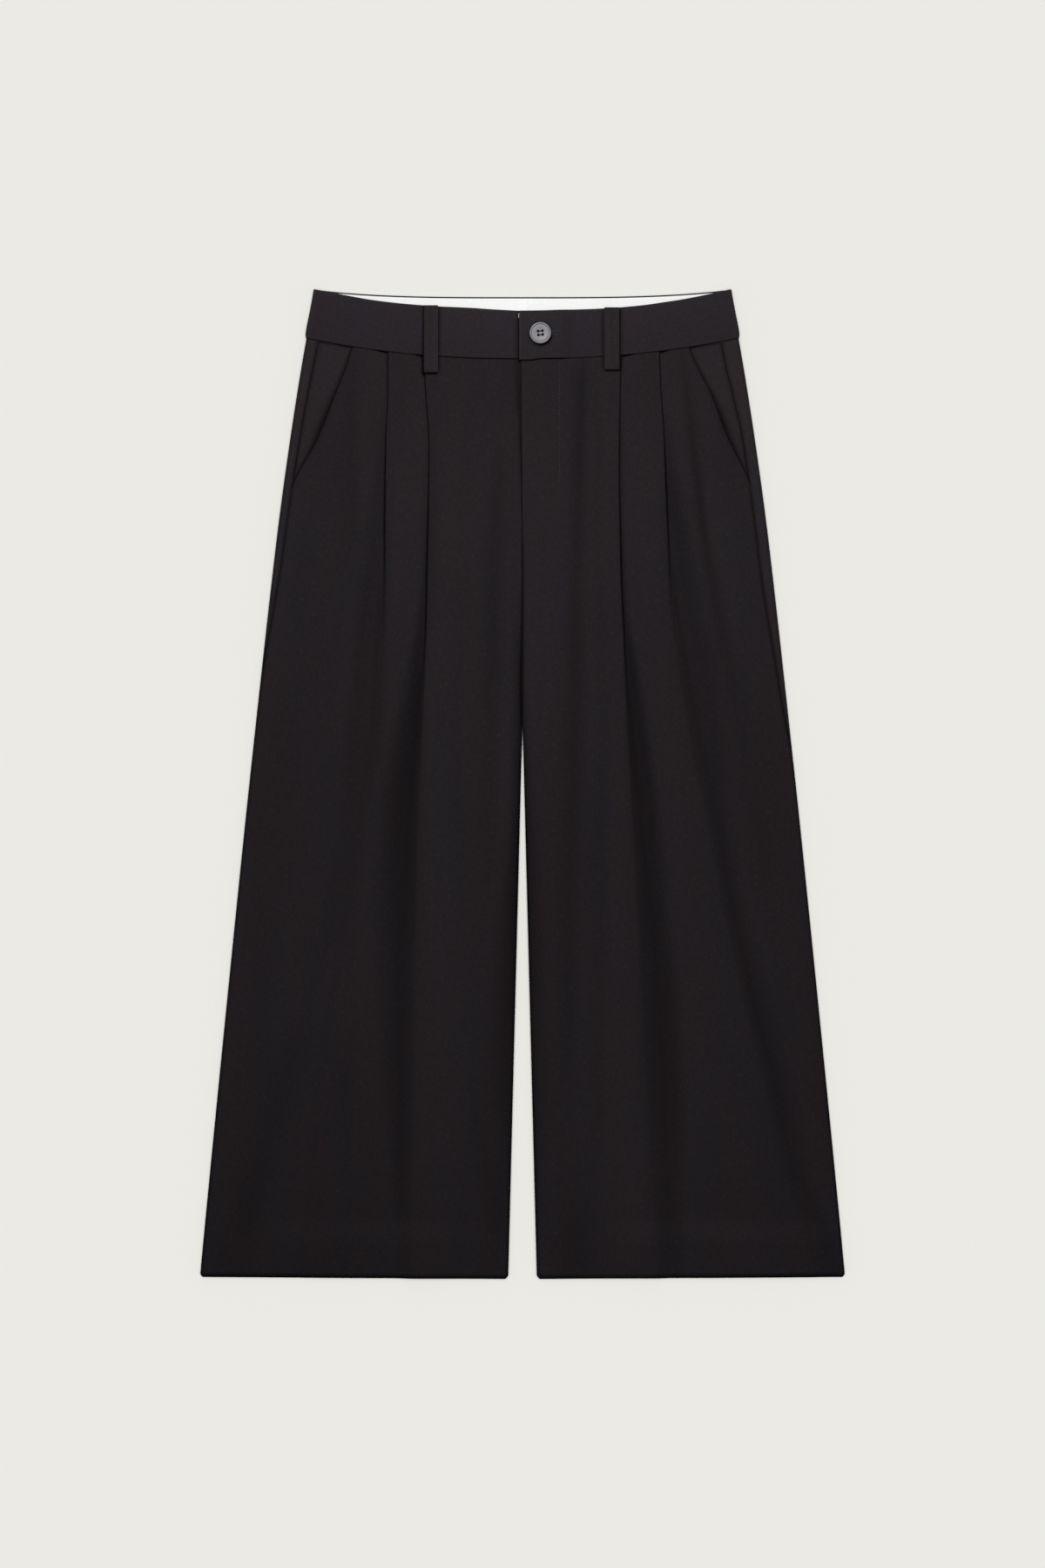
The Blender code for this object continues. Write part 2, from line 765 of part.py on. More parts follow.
def cloth_object(name, side, across, drop, height, finish, collection, face_up=True, hem_columns=None):
    """A wall of cloth from a grid of points: rows run down the garment, columns run outwards.

    hem_columns are the first and last columns of the turned-up hem, which stops short of the edges' bends.
    """
    x = across if side == "left" else -across
    points = np.stack([x, WAIST_TO_MIDDLE - drop, height], axis=-1)
    rows, columns = across.shape
    corner = (np.arange(rows - 1)[:, None] * columns + np.arange(columns - 1)).ravel()
    if hem_columns:
        column = corner % columns
        in_hem = (column >= hem_columns[0]) & (column < hem_columns[1])
        corner = corner[(corner // columns < len(LEG_ROWS)) | in_hem]
    faces = np.stack([corner, corner + columns, corner + columns + 1, corner + 1], axis=-1)
    if (side == "left") != face_up:
        faces = faces[:, ::-1]
    used, faces = np.unique(faces, return_inverse=True)
    made = new_object(name, points.reshape(-1, 3)[used], faces.reshape(-1, 4), finish, collection)
    wall = made.modifiers.new("wall", "SOLIDIFY")
    wall.thickness = CLOTH * MM
    wall.offset = 0.0
    wall.use_even_offset = True
    wall.use_quality_normals = True
    made.data.shade_smooth()
    made.data.set_sharp_from_angle(angle=math.radians(50))
    return made


def pleat_stretches(pleat):
    return (
        (lambda part, drop: pleat_fold(pleat, part, drop), parts(TURN_FACES)),
        (lambda part, drop: pleat_underlay(pleat, part, drop), parts(UNDERLAY_FACES)),
        (lambda part, drop: pleat_valley(pleat, part, drop), parts(TURN_FACES)),
    )


def add_front(side, finish, collection):
    inner, outer = PLEATS[side]
    stretches = [
        (lambda part, drop: front_inner(side, part, drop), parts(INNER_FACES, True)),
        (lambda part, drop: span(side, 0, part, drop), parts(SPAN_FACES[0])),
        *pleat_stretches(inner),
        (lambda part, drop: span(side, 1, part, drop), parts(SPAN_FACES[1])),
        *pleat_stretches(outer),
        (lambda part, drop: span(side, 2, part, drop), parts(SPAN_FACES[2])),
        (lambda part, drop: front_outer(side, part, drop), parts(OUTER_FACES)),
    ]
    across, drop, height = panel(stretches, lambda across: front_seam(side, across), 1)
    hem_columns = (INNER_FACES, across.shape[1] - 1 - OUTER_FACES)
    cloth_object(f"front_{side}", side, across, drop, height, finish, collection, hem_columns=hem_columns)


def add_back(side, finish, collection):
    stretches = [
        (back_inner, parts(INNER_FACES, True)),
        (back_bottom, parts(BACK_FACES)),
        (lambda part, drop: back_fold(side, part, drop), parts(FOLD_FACES)),
        (lambda part, drop: back_strip(side, part, drop), parts(STRIP_FACES)),
    ]
    hem_columns = (INNER_FACES, INNER_FACES + BACK_FACES)
    across, drop, height = panel(stretches, lambda across: back_waist_line(side, across), -1)
    cloth_object(f"back_{side}", side, across, drop, height, finish, collection, False, hem_columns)


def back_waist_line(side, across):
    """The back's waist seam underneath. At the side fold it meets the front's seam."""
    return np.where(across > WAIST_HALF - BACK_SEAM_END, front_seam(side, across), back_seam(across))


def add_pocket_facing(side, finish, collection):
    """The cloth seen in the pocket's mouth: from under the front's slanted edge to the side seam."""
    part = np.broadcast_to(parts(POCKET_COLUMNS, True), (POCKET_ROWS + 1, POCKET_COLUMNS + 1))
    down = parts(POCKET_ROWS, True)[:, None]
    drop = np.full(part.shape, POCKET_FOOT)
    for _ in range(PASSES):
        slant = along(POCKET_EDGE[side], "across", drop)
        seam = seam_path(side, drop)
        outer, _ = side_fold(seam - SEAM_GAP, along(HALF_WIDTH, "across", drop))
        inner = slant - POCKET_UNDERLAP
        across = inner + part * np.maximum(outer - inner, CLOTH)
        top = front_seam(side, across) + SEAM_GAP / 2
        drop = top + down * (POCKET_FOOT - top)
    to_seam = ease(across, slant + RISE_MARGIN, outer - CLOTH) * (1 - ease(drop, *POCKET_SINKS))
    height = FRONT_HEIGHT - LAYER + LAYER * to_seam
    cloth_object(f"pocket_facing_{side}", side, across, drop, height, finish, collection)


def front_top(side, across):
    """The waistband's top edge in front. The right side's lap stays a little below the left side's edge."""
    own = along(FRONT_TOP[side], "drop", np.abs(across), key="across")
    if side == "left":
        return own
    over_it = along(FRONT_TOP["left"], "drop", np.abs(across), key="across")
    return np.where(across < 0, over_it + LAP_BELOW * ease(-across, 0, 5), own)


def back_top(across):
    """The waistband's top edge behind, which dips less."""
    return BACK_DIP * (1 - np.minimum(np.abs(across) / WAIST_HALF, 1) ** BACK_DIP_POWER)


def add_band(name, side, start, inward, edge_below, finish, collection):
    """A strip round half the waist, from the centre front round the side fold to the centre back.

    start is where it begins across the centre front, and inward is how far its middle lies inside the
    waistband's own. On the left it climbs near its end, over the lap of the right side. edge_below is how far
    its top edge lies below the waist's.
    """
    if side == "left":
        ramp = np.linspace(*BAND_RAMP, BAND_RAMP_FACES + 1)
        front = np.concatenate([[start, (start + BAND_RAMP[0]) / 2], ramp])
    else:
        front = np.array([start, (start + BAND_RAMP[1]) / 2, BAND_RAMP[1]])
    rest = parts(BAND_FACES)
    radius = FOLD_RADIUS - inward
    down = parts(BAND_ROWS, True)[:, None]
    columns = len(front) + 2 * len(rest) + FOLD_FACES
    drop = np.full((BAND_ROWS + 1, columns), BAND_WIDTH / 2)
    for _ in range(PASSES):
        outline = along(BAND_HALF_WIDTH, "across", drop)
        bend = outline - FOLD_REACH
        path = np.concatenate(
            [
                np.broadcast_to(front, (len(drop), len(front))) - bend[:, : len(front)],
                (BAND_RAMP[1] - bend[:, len(front) : len(front) + len(rest)]) * (1 - rest),
                np.broadcast_to(math.pi * radius * parts(FOLD_FACES), (len(drop), FOLD_FACES)),
                math.pi * radius + (bend[:, -len(rest) :] - SEAM_GAP / 2) * rest,
            ],
            axis=1,
        )
        across, height = side_fold(path, outline, radius)
        under = path > math.pi * radius / 2
        top = np.where(under, back_top(across), front_top(side, across)) + edge_below
        seam = np.where(under, back_seam(across), front_seam(side, across)) - SEAM_GAP / 2
        drop = top + down * (seam - top)
    if side == "left":
        height = height + 2 * LAYER * (1 - ease(across, *BAND_RAMP)) * (path < 0)
    cloth_object(name, side, across, drop, height, finish, collection)


def add_belt_loop(side, finish, collection):
    """A strip that stands off the waistband, with both its ends turned under."""
    inner = LOOP_INNER_EDGE[side]
    top = front_top(side, inner + LOOP_WIDTH[side] / 2) - LOOP_PROUD
    lower = FRONT_HEIGHT + LAYER
    turn = math.pi * parts(LOOP_TURN_FACES)
    reach = CLOTH / 2 + TURN_RADIUS
    foot = LOOP_FOOT_DROP[side] - reach
    head = top + reach
    drop = np.concatenate(
        [
            [foot - LOOP_TURN_UNDER, foot],
            foot + TURN_RADIUS * np.sin(turn),
            foot + (head - foot) * parts(LOOP_FACES),
            head - TURN_RADIUS * np.sin(turn),
            [head + LOOP_TURN_UNDER],
        ]
    )
    height = np.concatenate(
        [
            [lower, lower],
            lower + TURN_RADIUS * (1 - np.cos(turn)),
            np.full(LOOP_FACES, lower + LAYER),
            lower + TURN_RADIUS * (1 + np.cos(turn)),
            [lower],
        ]
    )
    across = inner + LOOP_WIDTH[side] * parts(LOOP_COLUMNS, True)
    shape = (len(drop), len(across))
    cloth_object(
        f"belt_loop_{side}",
        side,
        np.broadcast_to(across, shape),
        np.broadcast_to(drop[:, None], shape),
        np.broadcast_to(height[:, None], shape),
        finish,
        collection,
        face_up=False,
    )


def add_button(finish, collection, cutters):
    """A turned disc with a raised rim and a shallow dish, and four holes through it."""
    rim = BUTTON_RADIUS - BUTTON_RIM
    top = BUTTON_THICKNESS
    profile = (
        (0.0, top - BUTTON_DISH),
        (rim - 1.2, top - BUTTON_DISH),
        (rim, top - 0.15),
        (rim + 0.5, top),
        (BUTTON_RADIUS - 0.5, top - 0.1),
        (BUTTON_RADIUS - 0.1, top - 0.5),
        (BUTTON_RADIUS, top - 1.0),
        (BUTTON_RADIUS - 0.6, 0.5),
        (BUTTON_RADIUS - 2.4, 0.0),
        (0.0, 0.0),
    )
    points = [(radius * MM, 0.0, height * MM) for radius, height in profile]
    mesh = bpy.data.meshes.new("button")
    mesh.from_pydata(points, [(step, step + 1) for step in range(len(points) - 1)], [])
    mesh.materials.append(finish)
    button = bpy.data.objects.new("button", mesh)
    collection.objects.link(button)
    across, drop = BUTTON_PLACE
    lap_top = FRONT_HEIGHT + 2 * LAYER + CLOTH / 2
    button.location = (across * MM, (WAIST_TO_MIDDLE - drop) * MM, (lap_top + SEAM_GAP) * MM)
    button.rotation_euler.z = math.radians(BUTTON_TILT)
    turned = button.modifiers.new("turned", "SCREW")
    turned.axis = "Z"
    turned.angle = 2 * math.pi
    turned.steps = BUTTON_STEPS
    turned.render_steps = BUTTON_STEPS
    turned.use_merge_vertices = True
    turned.merge_threshold = 0.01 * MM
    for row in (-0.5, 0.5):
        for column in (-0.5, 0.5):
            bpy.ops.mesh.primitive_cylinder_add(
                vertices=BUTTON_HOLE_SIDES, radius=BUTTON_HOLE_RADIUS * MM, depth=3 * BUTTON_THICKNESS * MM
            )
            hole = bpy.context.object
            hole.name = f"button_hole_{'lower' if row < 0 else 'upper'}_{'right' if column < 0 else 'left'}"
            for holder in list(hole.users_collection):
                holder.objects.unlink(hole)
            cutters.objects.link(hole)
            hole.parent = button
            spacing_x, spacing_y = BUTTON_HOLE_SPACING
            hole.location = (column * spacing_x * MM, row * spacing_y * MM, 0.0)
            hole.hide_render = True
            hole.display_type = "WIRE"
            cut = button.modifiers.new(hole.name, "BOOLEAN")
            cut.operation = "DIFFERENCE"
            cut.object = hole


def main():
    for old in list(bpy.data.objects):
        bpy.data.objects.remove(old)
    culottes = bpy.data.collections.new("culottes")
    cutters = bpy.data.collections.new("cutters")
    for collection in (culottes, cutters):
        bpy.context.scene.collection.children.link(collection)
    suiting, facing, horn = (material(name) for name in ("suiting", "facing", "button"))
    for side in ("right", "left"):
        lap = BAND_EDGE if side == "left" else -BAND_LAP
        add_front(side, suiting, culottes)
        add_back(side, suiting, culottes)
        add_pocket_facing(side, suiting, culottes)
        add_band(f"waistband_{side}", side, lap, 0.0, 0.0, suiting, culottes)
        add_band(f"waistband_facing_{side}", side, lap + FACING_SHORT, LAYER, FACING_BELOW, facing, culottes)
        add_belt_loop(side, suiting, culottes)
    add_button(horn, culottes, cutters)


main()
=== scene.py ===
"""Looks for a pair of pleated culottes, laid flat with the front up.

Each cloth piece is a thin wall worked out on a grid, on the form of the solid that it stands for. Sizes
are in millimetres until a mesh is made. Places on the cloth are given as a garment maker measures them:

    drop    how far down the garment, from the top of the waist at the side folds
    across  how far out from the centre line, on the leg's own side
    height  how far above the surface that the garment lies on, to the middle of the cloth's wall

"Right" and "left" are the wearer's, so the right leg lies at -X.
"""

import math

import bpy
import numpy as np
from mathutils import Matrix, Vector
from mathutils.bvhtree import BVHTree


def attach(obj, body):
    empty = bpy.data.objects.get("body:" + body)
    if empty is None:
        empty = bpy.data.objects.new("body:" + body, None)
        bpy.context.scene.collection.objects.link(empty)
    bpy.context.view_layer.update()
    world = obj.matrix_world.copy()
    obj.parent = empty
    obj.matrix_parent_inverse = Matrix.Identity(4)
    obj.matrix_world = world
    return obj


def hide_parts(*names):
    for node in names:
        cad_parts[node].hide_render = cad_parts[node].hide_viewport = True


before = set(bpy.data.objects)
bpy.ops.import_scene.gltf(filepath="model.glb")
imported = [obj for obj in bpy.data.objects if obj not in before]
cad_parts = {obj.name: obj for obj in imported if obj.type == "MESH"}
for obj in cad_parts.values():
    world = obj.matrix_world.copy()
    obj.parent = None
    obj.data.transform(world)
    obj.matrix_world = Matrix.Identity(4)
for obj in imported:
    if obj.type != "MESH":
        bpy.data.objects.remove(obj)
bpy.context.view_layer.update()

MM = 0.001
SIDES = ("right", "left")

# The cloth and how it stacks
CLOTH = 1.0
SEAM_GAP = 0.3
LAYER = CLOTH + SEAM_GAP
TURN_RADIUS = LAYER / 2
BACK_HEIGHT = CLOTH / 2
BACK_CLOTH = 0.9
FRONT_HEIGHT = BACK_HEIGHT + 3 * LAYER
FOLD_RADIUS = (FRONT_HEIGHT - BACK_HEIGHT) / 2
QUARTER_TURN = FOLD_RADIUS * math.pi / 2
FOLD_REACH = FOLD_RADIUS + CLOTH / 2
BEND_CLEARANCE = 0.3
BEND_NEAR = (-1.0, 0.5)

# Lengths down the garment
WAIST_TO_MIDDLE = 409.03
BAND_WIDTH = 40.0
CROTCH_DROP = 360.7
CROTCH_TURNS = (CROTCH_DROP + 2, CROTCH_DROP + 34)
INSEAM_SPREAD = 0.0256
HEM_DROP_INNER = 818.2
HEM_DROP_OUTER = 816.5
HEM_CORNER = 3.0
HEM_TURN_UP = 22.4
HEM_EASE = (768.0, 789.0)

# Curves of the waist, worked from the centre line to the side fold: each rises by a power of its place
WAIST_HALF = 172.8
SEAM_HALF = 178.0
BACK_DIP = 6.2
BACK_DIP_POWER = 3.4
FRONT_SEAM_DROP = 57.6
FRONT_SEAM_RISE = 16.9
FRONT_SEAM_POWER = 2.2
FLY_SAG = 1.3
FLY_SAGS = (5.0, 17.0)
BACK_SEAM_DROP = BACK_DIP + BAND_WIDTH
BACK_SEAM_RISE = 6.1
BACK_SEAM_POWER = 3.0
BACK_SEAM_END = 10.0

# The fly: the left front laps over the right one down to FLY_END. Its edge leans over the centre line from
# FLY_LEANS up, and below the waistband both fronts settle to their heights in the lap.
FLY_END = (186.0, 206.0)
FLY_LAP = 10.0
FLY_STRIP = 13.5
FLY_LEAN = 1.0
FLY_LEANS = (60.0, 200.0)
FLY_SETTLES = (57.0, 112.0)
FLY_MERGES = (216.0, 246.0)
FLY_HEIGHTS = {"right": (0.0, -1.3), "left": (1.5, 0.1)}
SEAM_HEIGHT = -0.6
SEAM_RISES = (300.0, CROTCH_DROP)

# The waistband's overlap at the centre front
BAND_LAP = 28.0
BAND_RAMP = (30.0, 46.0)
BAND_EDGE = -2.6
LAP_BELOW = 0.3
LAP_BELOW_GROWS = (0.0, 5.0)
FACING_BELOW = 1.35
FACING_SHORT = 0.8
FACING_ABOVE_SEAM = 2.0
FACING_CORNER_ACROSS = (-3.2, -2.0)
FACING_CORNER_DROP = (20.2, 23.8)
FACING_CORNER_ROWS = 9
FACING_CORNER_COLUMNS = 4

POCKET_UNDERLAP = 12.0
POCKET_FOOT = 171.0
POCKET_SINKS = (125.0, 158.0)
POCKET_CLEAR = 4.0

LOOP_INNER_EDGE = {"right": 69.8, "left": 67.6}
LOOP_WIDTH = {"right": 11.8, "left": 12.6}
LOOP_PROUD = 0.5
LOOP_FOOT_DROP = {"right": 69.3, "left": 67.0}
LOOP_TURN_UNDER = 8.0

BUTTON_RADIUS = 8.85
BUTTON_THICKNESS = 2.6
BUTTON_RIM = 1.5
BUTTON_DISH = 0.7
BUTTON_HOLE_RADIUS = 1.2
BUTTON_HOLE_SPACING = (3.6, 3.1)
BUTTON_PLACE = (14.8, 36.7)
BUTTON_TILT = 5.0


def table(columns, *rows):
    """Rows of numbers, as one array for each named column."""
    return dict(zip(columns.split(), np.array(rows, float).T))


def tables(columns, *groups):
    """Several tables with the same columns, each given as its rows."""
    return [table(columns, *rows) for rows in groups]


HALF_WIDTH = table(
    "drop across",
    (40.7, 178.85), (63.4, 182.8), (106.6, 189.7), (149.8, 196), (193, 201.8), (236, 206.95),
    (279, 211.85), (373, 222.15), (445, 229.85), (589, 244.55), (733, 258.85), (808, 266.05),
    (817, 266.85),
)
BAND_HALF_WIDTH = table(
    "drop across",
    (0, WAIST_HALF), (10, 174.5), (20, 176.4), (33.5, 179.05), (37.5, 179.5), (41, 178.9),
)
# Drop of the waistband's top edge in front
FRONT_TOP = {
    "right": table(
        "across drop",
        (0, 18.1), (13, 17.4), (27.4, 16.6), (41.8, 15.6), (56.2, 14.9), (70.6, 14.3), (85, 13.2),
        (99.4, 12), (113.8, 10.4), (128.2, 8.4), (142.6, 5.8), (157, 3), (172.8, 0),
    ),
    "left": table(
        "across drop",
        (0, 18.1), (15.8, 17.9), (30.2, 17.4), (44.6, 16.9), (59, 16.4), (73.4, 15.7), (87.8, 14.5),
        (102.2, 13), (116.6, 10.9), (131, 8.7), (145.4, 6), (159.8, 2.9), (172.8, 0),
    ),
}

# How far inside the outline the side seam lies on the front
SIDE_SEAM = {
    "right": table(
        "drop inset",
        (40, 10.3), (125, 7.9), (228, 6.3), (264, 4.3), (309, 1.2), (345, 0), (815, 0),
    ),
    "left": table(
        "drop inset",
        (40, 14.8), (63, 14.6), (84, 12.8), (127, 10), (242, 9.4), (300, 6.5), (348, 3.8), (392, 0),
        (815, 0),
    ),
}

# The slanted edge of the front over the pocket facing, which runs on past the side seam and ends there
POCKET_EDGE = {
    "right": table(
        "drop across",
        (40, 138), (59.8, 144), (93.6, 157), (126.7, 170.6), (153.4, 185.8), (166, 191.5), (180, 215),
        (215, 300),
    ),
    "left": table(
        "drop across",
        (40, 134.5), (59.8, 141.8), (88.6, 156.2), (121, 168.5), (149.8, 182.9), (162, 189), (176, 215),
        (215, 300),
    ),
}
# How far the front's edge stands off the pocket facing, and the most that it does
POCKET_MOUTH_OPEN = 1.5
POCKET_MOUTH = table(
    "drop lift",
    (40, 0), (75, 0.5), (112, 1.5), (150, 0.3), (165, 0), (815, 0),
)

# Pleats, from the waist to the hem. turn is how far the cloth turns at the fold, in degrees: 180 is a
# pressed pleat, with underlay millimetres of cloth folded back under it, and less is a crease with its
# outer slope. lift is how far the valley beside it stays above the cloth below.
PLEATS = {
    "right": tables(
        "drop across turn underlay fold_radius valley_radius lift",
        (
            (38, 81.5, 180, 13, 0.65, 0.65, 0), (80, 79.8, 180, 13, 0.65, 0.65, 0),
            (130, 76.8, 180, 12, 0.65, 0.65, 0), (180, 77.2, 172, 9, 0.7, 0.8, 0),
            (222, 77.9, 145, 4.5, 0.8, 1.2, 0.2), (275, 79.1, 95, 2, 0.9, 2.2, 0.3),
            (337, 82, 50, 5, 2, 6, 0.4), (445, 87, 30, 8, 4, 14, 0.4), (553, 90, 24, 10, 5, 20, 0.4),
            (700, 92, 18, 10, 7, 22, 0.3), (817, 93, 12, 9, 8, 22, 0),
        ),
        (
            (38, 110.9, 180, 13, 0.65, 0.65, 0), (85, 110.9, 180, 12, 0.65, 0.65, 0),
            (125, 112.4, 176, 9, 0.65, 0.7, 0), (165, 112.8, 155, 4.5, 0.8, 1, 0),
            (222, 113.2, 80, 2, 1.5, 3.5, 0.2), (300, 116, 30, 4, 8, 12, 0.5),
            (373, 120, 20, 5, 14, 18, 0.8), (445, 131, 14, 6, 16, 18, 0.8),
            (517, 142, 11, 6, 16, 18, 0.8), (639, 162, 9, 6, 16, 18, 0.8), (817, 180, 6, 5, 14, 14, 0),
        ),
    ),
    "left": tables(
        "drop across turn underlay fold_radius valley_radius lift",
        (
            (38, 82.1, 180, 13, 0.65, 0.65, 0), (84, 80.2, 180, 13, 0.65, 0.65, 0),
            (155, 79.6, 180, 12, 0.65, 0.65, 0), (200, 80.2, 172, 9, 0.7, 0.8, 0),
            (240, 80.9, 145, 4.5, 0.8, 1.2, 0.2), (290, 83.4, 95, 2, 0.9, 2.2, 0.3),
            (337, 85.6, 58, 4, 2, 4, 0.3), (445, 92, 34, 8, 5, 8, 0.3), (589, 100, 22, 14, 8, 12, 0.3),
            (733, 108, 16, 12, 10, 14, 0.2), (817, 113, 10, 8, 10, 12, 0),
        ),
        (
            (38, 112.3, 180, 13, 0.65, 0.65, 0), (78, 113.6, 180, 12, 0.65, 0.65, 0),
            (123, 116.6, 176, 9, 0.65, 0.7, 0), (160, 117.6, 155, 4.5, 0.8, 1.2, 0),
            (200, 119.4, 95, 1.6, 1, 3, 0.2), (260, 122.5, 46, 4, 3, 7, 0.4),
            (308, 129.5, 34, 6, 5, 10, 0.5), (373, 140, 27, 8, 8, 12, 0.5), (445, 155, 25, 8, 9, 14, 0.5),
            (517, 168, 23, 8, 10, 14, 0.5), (589, 184, 22, 8, 10, 14, 0.5),
            (661, 202, 20, 8, 10, 14, 0.5), (733, 218, 17, 7, 10, 12, 0.4), (783, 234, 12, 5, 10, 9, 0.2),
            (817, 242, 8, 4, 10, 8, 0),
        ),
    ),
}

# How far past a folded underlay the cloth above it stays level
PLEAT_CLEAR = 2.0

# Soft folds between the pleats: ridges where rise is above zero, troughs where it is below
SOFT_FOLDS = {
    "right": tables(
        "drop across half_width rise",
        (
            (130, 18, 8, 0), (193, 23.8, 9, -1.3), (250, 25.2, 10, -1.7), (308, 26.6, 10, -1.7),
            (373, 30.2, 11, -1), (470, 29, 12, 0),
        ),
        ((215, 46, 8, 0), (280, 45, 9, -0.9), (345, 45, 9, -0.8), (410, 46, 9, 0)),
        ((560, 44, 16, 0), (680, 36, 15, -1.2), (760, 30, 13, -1.6), (817, 28, 12, 0)),
        ((610, 186, 12, 0), (690, 209, 13, -1.6), (755, 229, 13, -1.5), (812, 246, 11, 0)),
        ((300, 185, 14, 0), (420, 192, 18, 1.2), (560, 204, 18, 1), (680, 216, 16, 0)),
    ),
    "left": tables(
        "drop across half_width rise",
        (
            (58, 50.5, 6, 0), (80, 50, 7, -1.4), (193, 46.8, 8, -2), (308, 45.4, 9, -2),
            (400, 42.5, 10, -1.7), (500, 38.5, 12, -1), (560, 36, 12, 0),
        ),
        ((350, 27, 15, 0), (440, 25, 16, -2), (540, 22, 15, -2), (640, 22, 14, 0)),
        ((410, 64, 7, 0), (520, 65, 8, -1.1), (700, 64, 8, -1.1), (790, 64, 8, 0)),
        ((170, 145, 7, 0), (225, 151, 8, -1.3), (300, 163, 9, -1.4), (370, 176, 10, 0)),
        ((330, 162, 10, 0), (420, 179, 11, 1.8), (520, 199, 12, 2), (640, 223, 11, 0)),
    ),
}

# Fineness of the grids


def fine(count):
    return count


INNER_FACES = fine(14)
SPAN_FACES = (fine(44), fine(32), fine(40))
TURN_FACES = fine(6)
UNDERLAY_FACES = fine(4)
OUTER_FACES = fine(8)
BACK_FACES = fine(64)
FOLD_FACES = fine(10)
STRIP_FACES = fine(8)
HEM_TURN_FACES = fine(6)
POCKET_ROWS = fine(44)
POCKET_COLUMNS = fine(16)
BAND_FACES = fine(44)
BAND_END_FACES = fine(18)
BAND_RAMP_FACES = fine(10)
LOOP_TURN_FACES = fine(6)
LOOP_FACES = fine(34)
LOOP_COLUMNS = fine(10)
EDGE_FACES = 6
LEG_ROWS = np.concatenate([(0.0, 0.0012, 0.003), np.linspace(0.0055, 1, fine(238))[:-1]])
BAND_ROWS = np.concatenate([(0.0, 0.02, 0.045), np.linspace(0.07, 0.93, fine(18)), (0.955, 0.98, 1.0)])
RISE_MARGIN = 1.5
LONGEST_RISE = (58.0, 32.0, 42.0)

# How far the cloth's cut edges and seams round out beyond the wall's end
SEAM_BULGE = 0.1495
FREE_BULGE = 0.35
# An offset round a turn is lengthened, but not past these: the least mean step, and the most in all
LEAST_MEAN_STEP = 0.6
MOST_LENGTHENED = 1.4

# Relief of the lying cloth: the noise's cells across and down the leg, and the rise of each
DRAPE = ((24.0, 170.0, 0.42), (11.0, 62.0, 0.12), (4.6, 15.0, 0.025))
DRAPE_SEEDS = {"right": 31, "left": 77}
DRAPE_LANES = 100.0
DRAPE_LANE_WIDTH = 2.2
DRAPE_START = 7
# The waves are slighter at the waist and the hem, and fade at the two ends of a stretch
DRAPE_AT_WAIST = 0.35
DRAPE_GROWS = (60.0, 140.0)
DRAPE_LOST_AT_HEM = 0.6
DRAPE_SINKS = (770.0, 800.0)
DRAPE_STARTS = (0.0, 0.1)
FRONT_DRAPE_ENDS = (0.86, 1.0)
BACK_DRAPE_ENDS = (0.9, 1.0)
# Over a pleat or the pocket they only lift the cloth
DRAPE_OVER_FOLD = 6.0
DRAPE_LIFT = 0.25
DRAPE_OVER_SHARE = 0.7
LATTICE = 64
NOISE_GAIN = 1.8

# The back's troughs lie this far inside the front's creases
BACK_TROUGH_INSIDE = 9.0
BACK_TROUGH_WIDTH = 9.0
BACK_TROUGH_RISE = 0.9
BACK_TROUGH_STARTS = (300.0, 430.0)
BACK_TROUGH_ENDS = (735.0, 785.0)
BACK_WAVE = 0.09
BACK_WAVE_OUT = 40.0
BACK_WAVE_FULL = 0.5

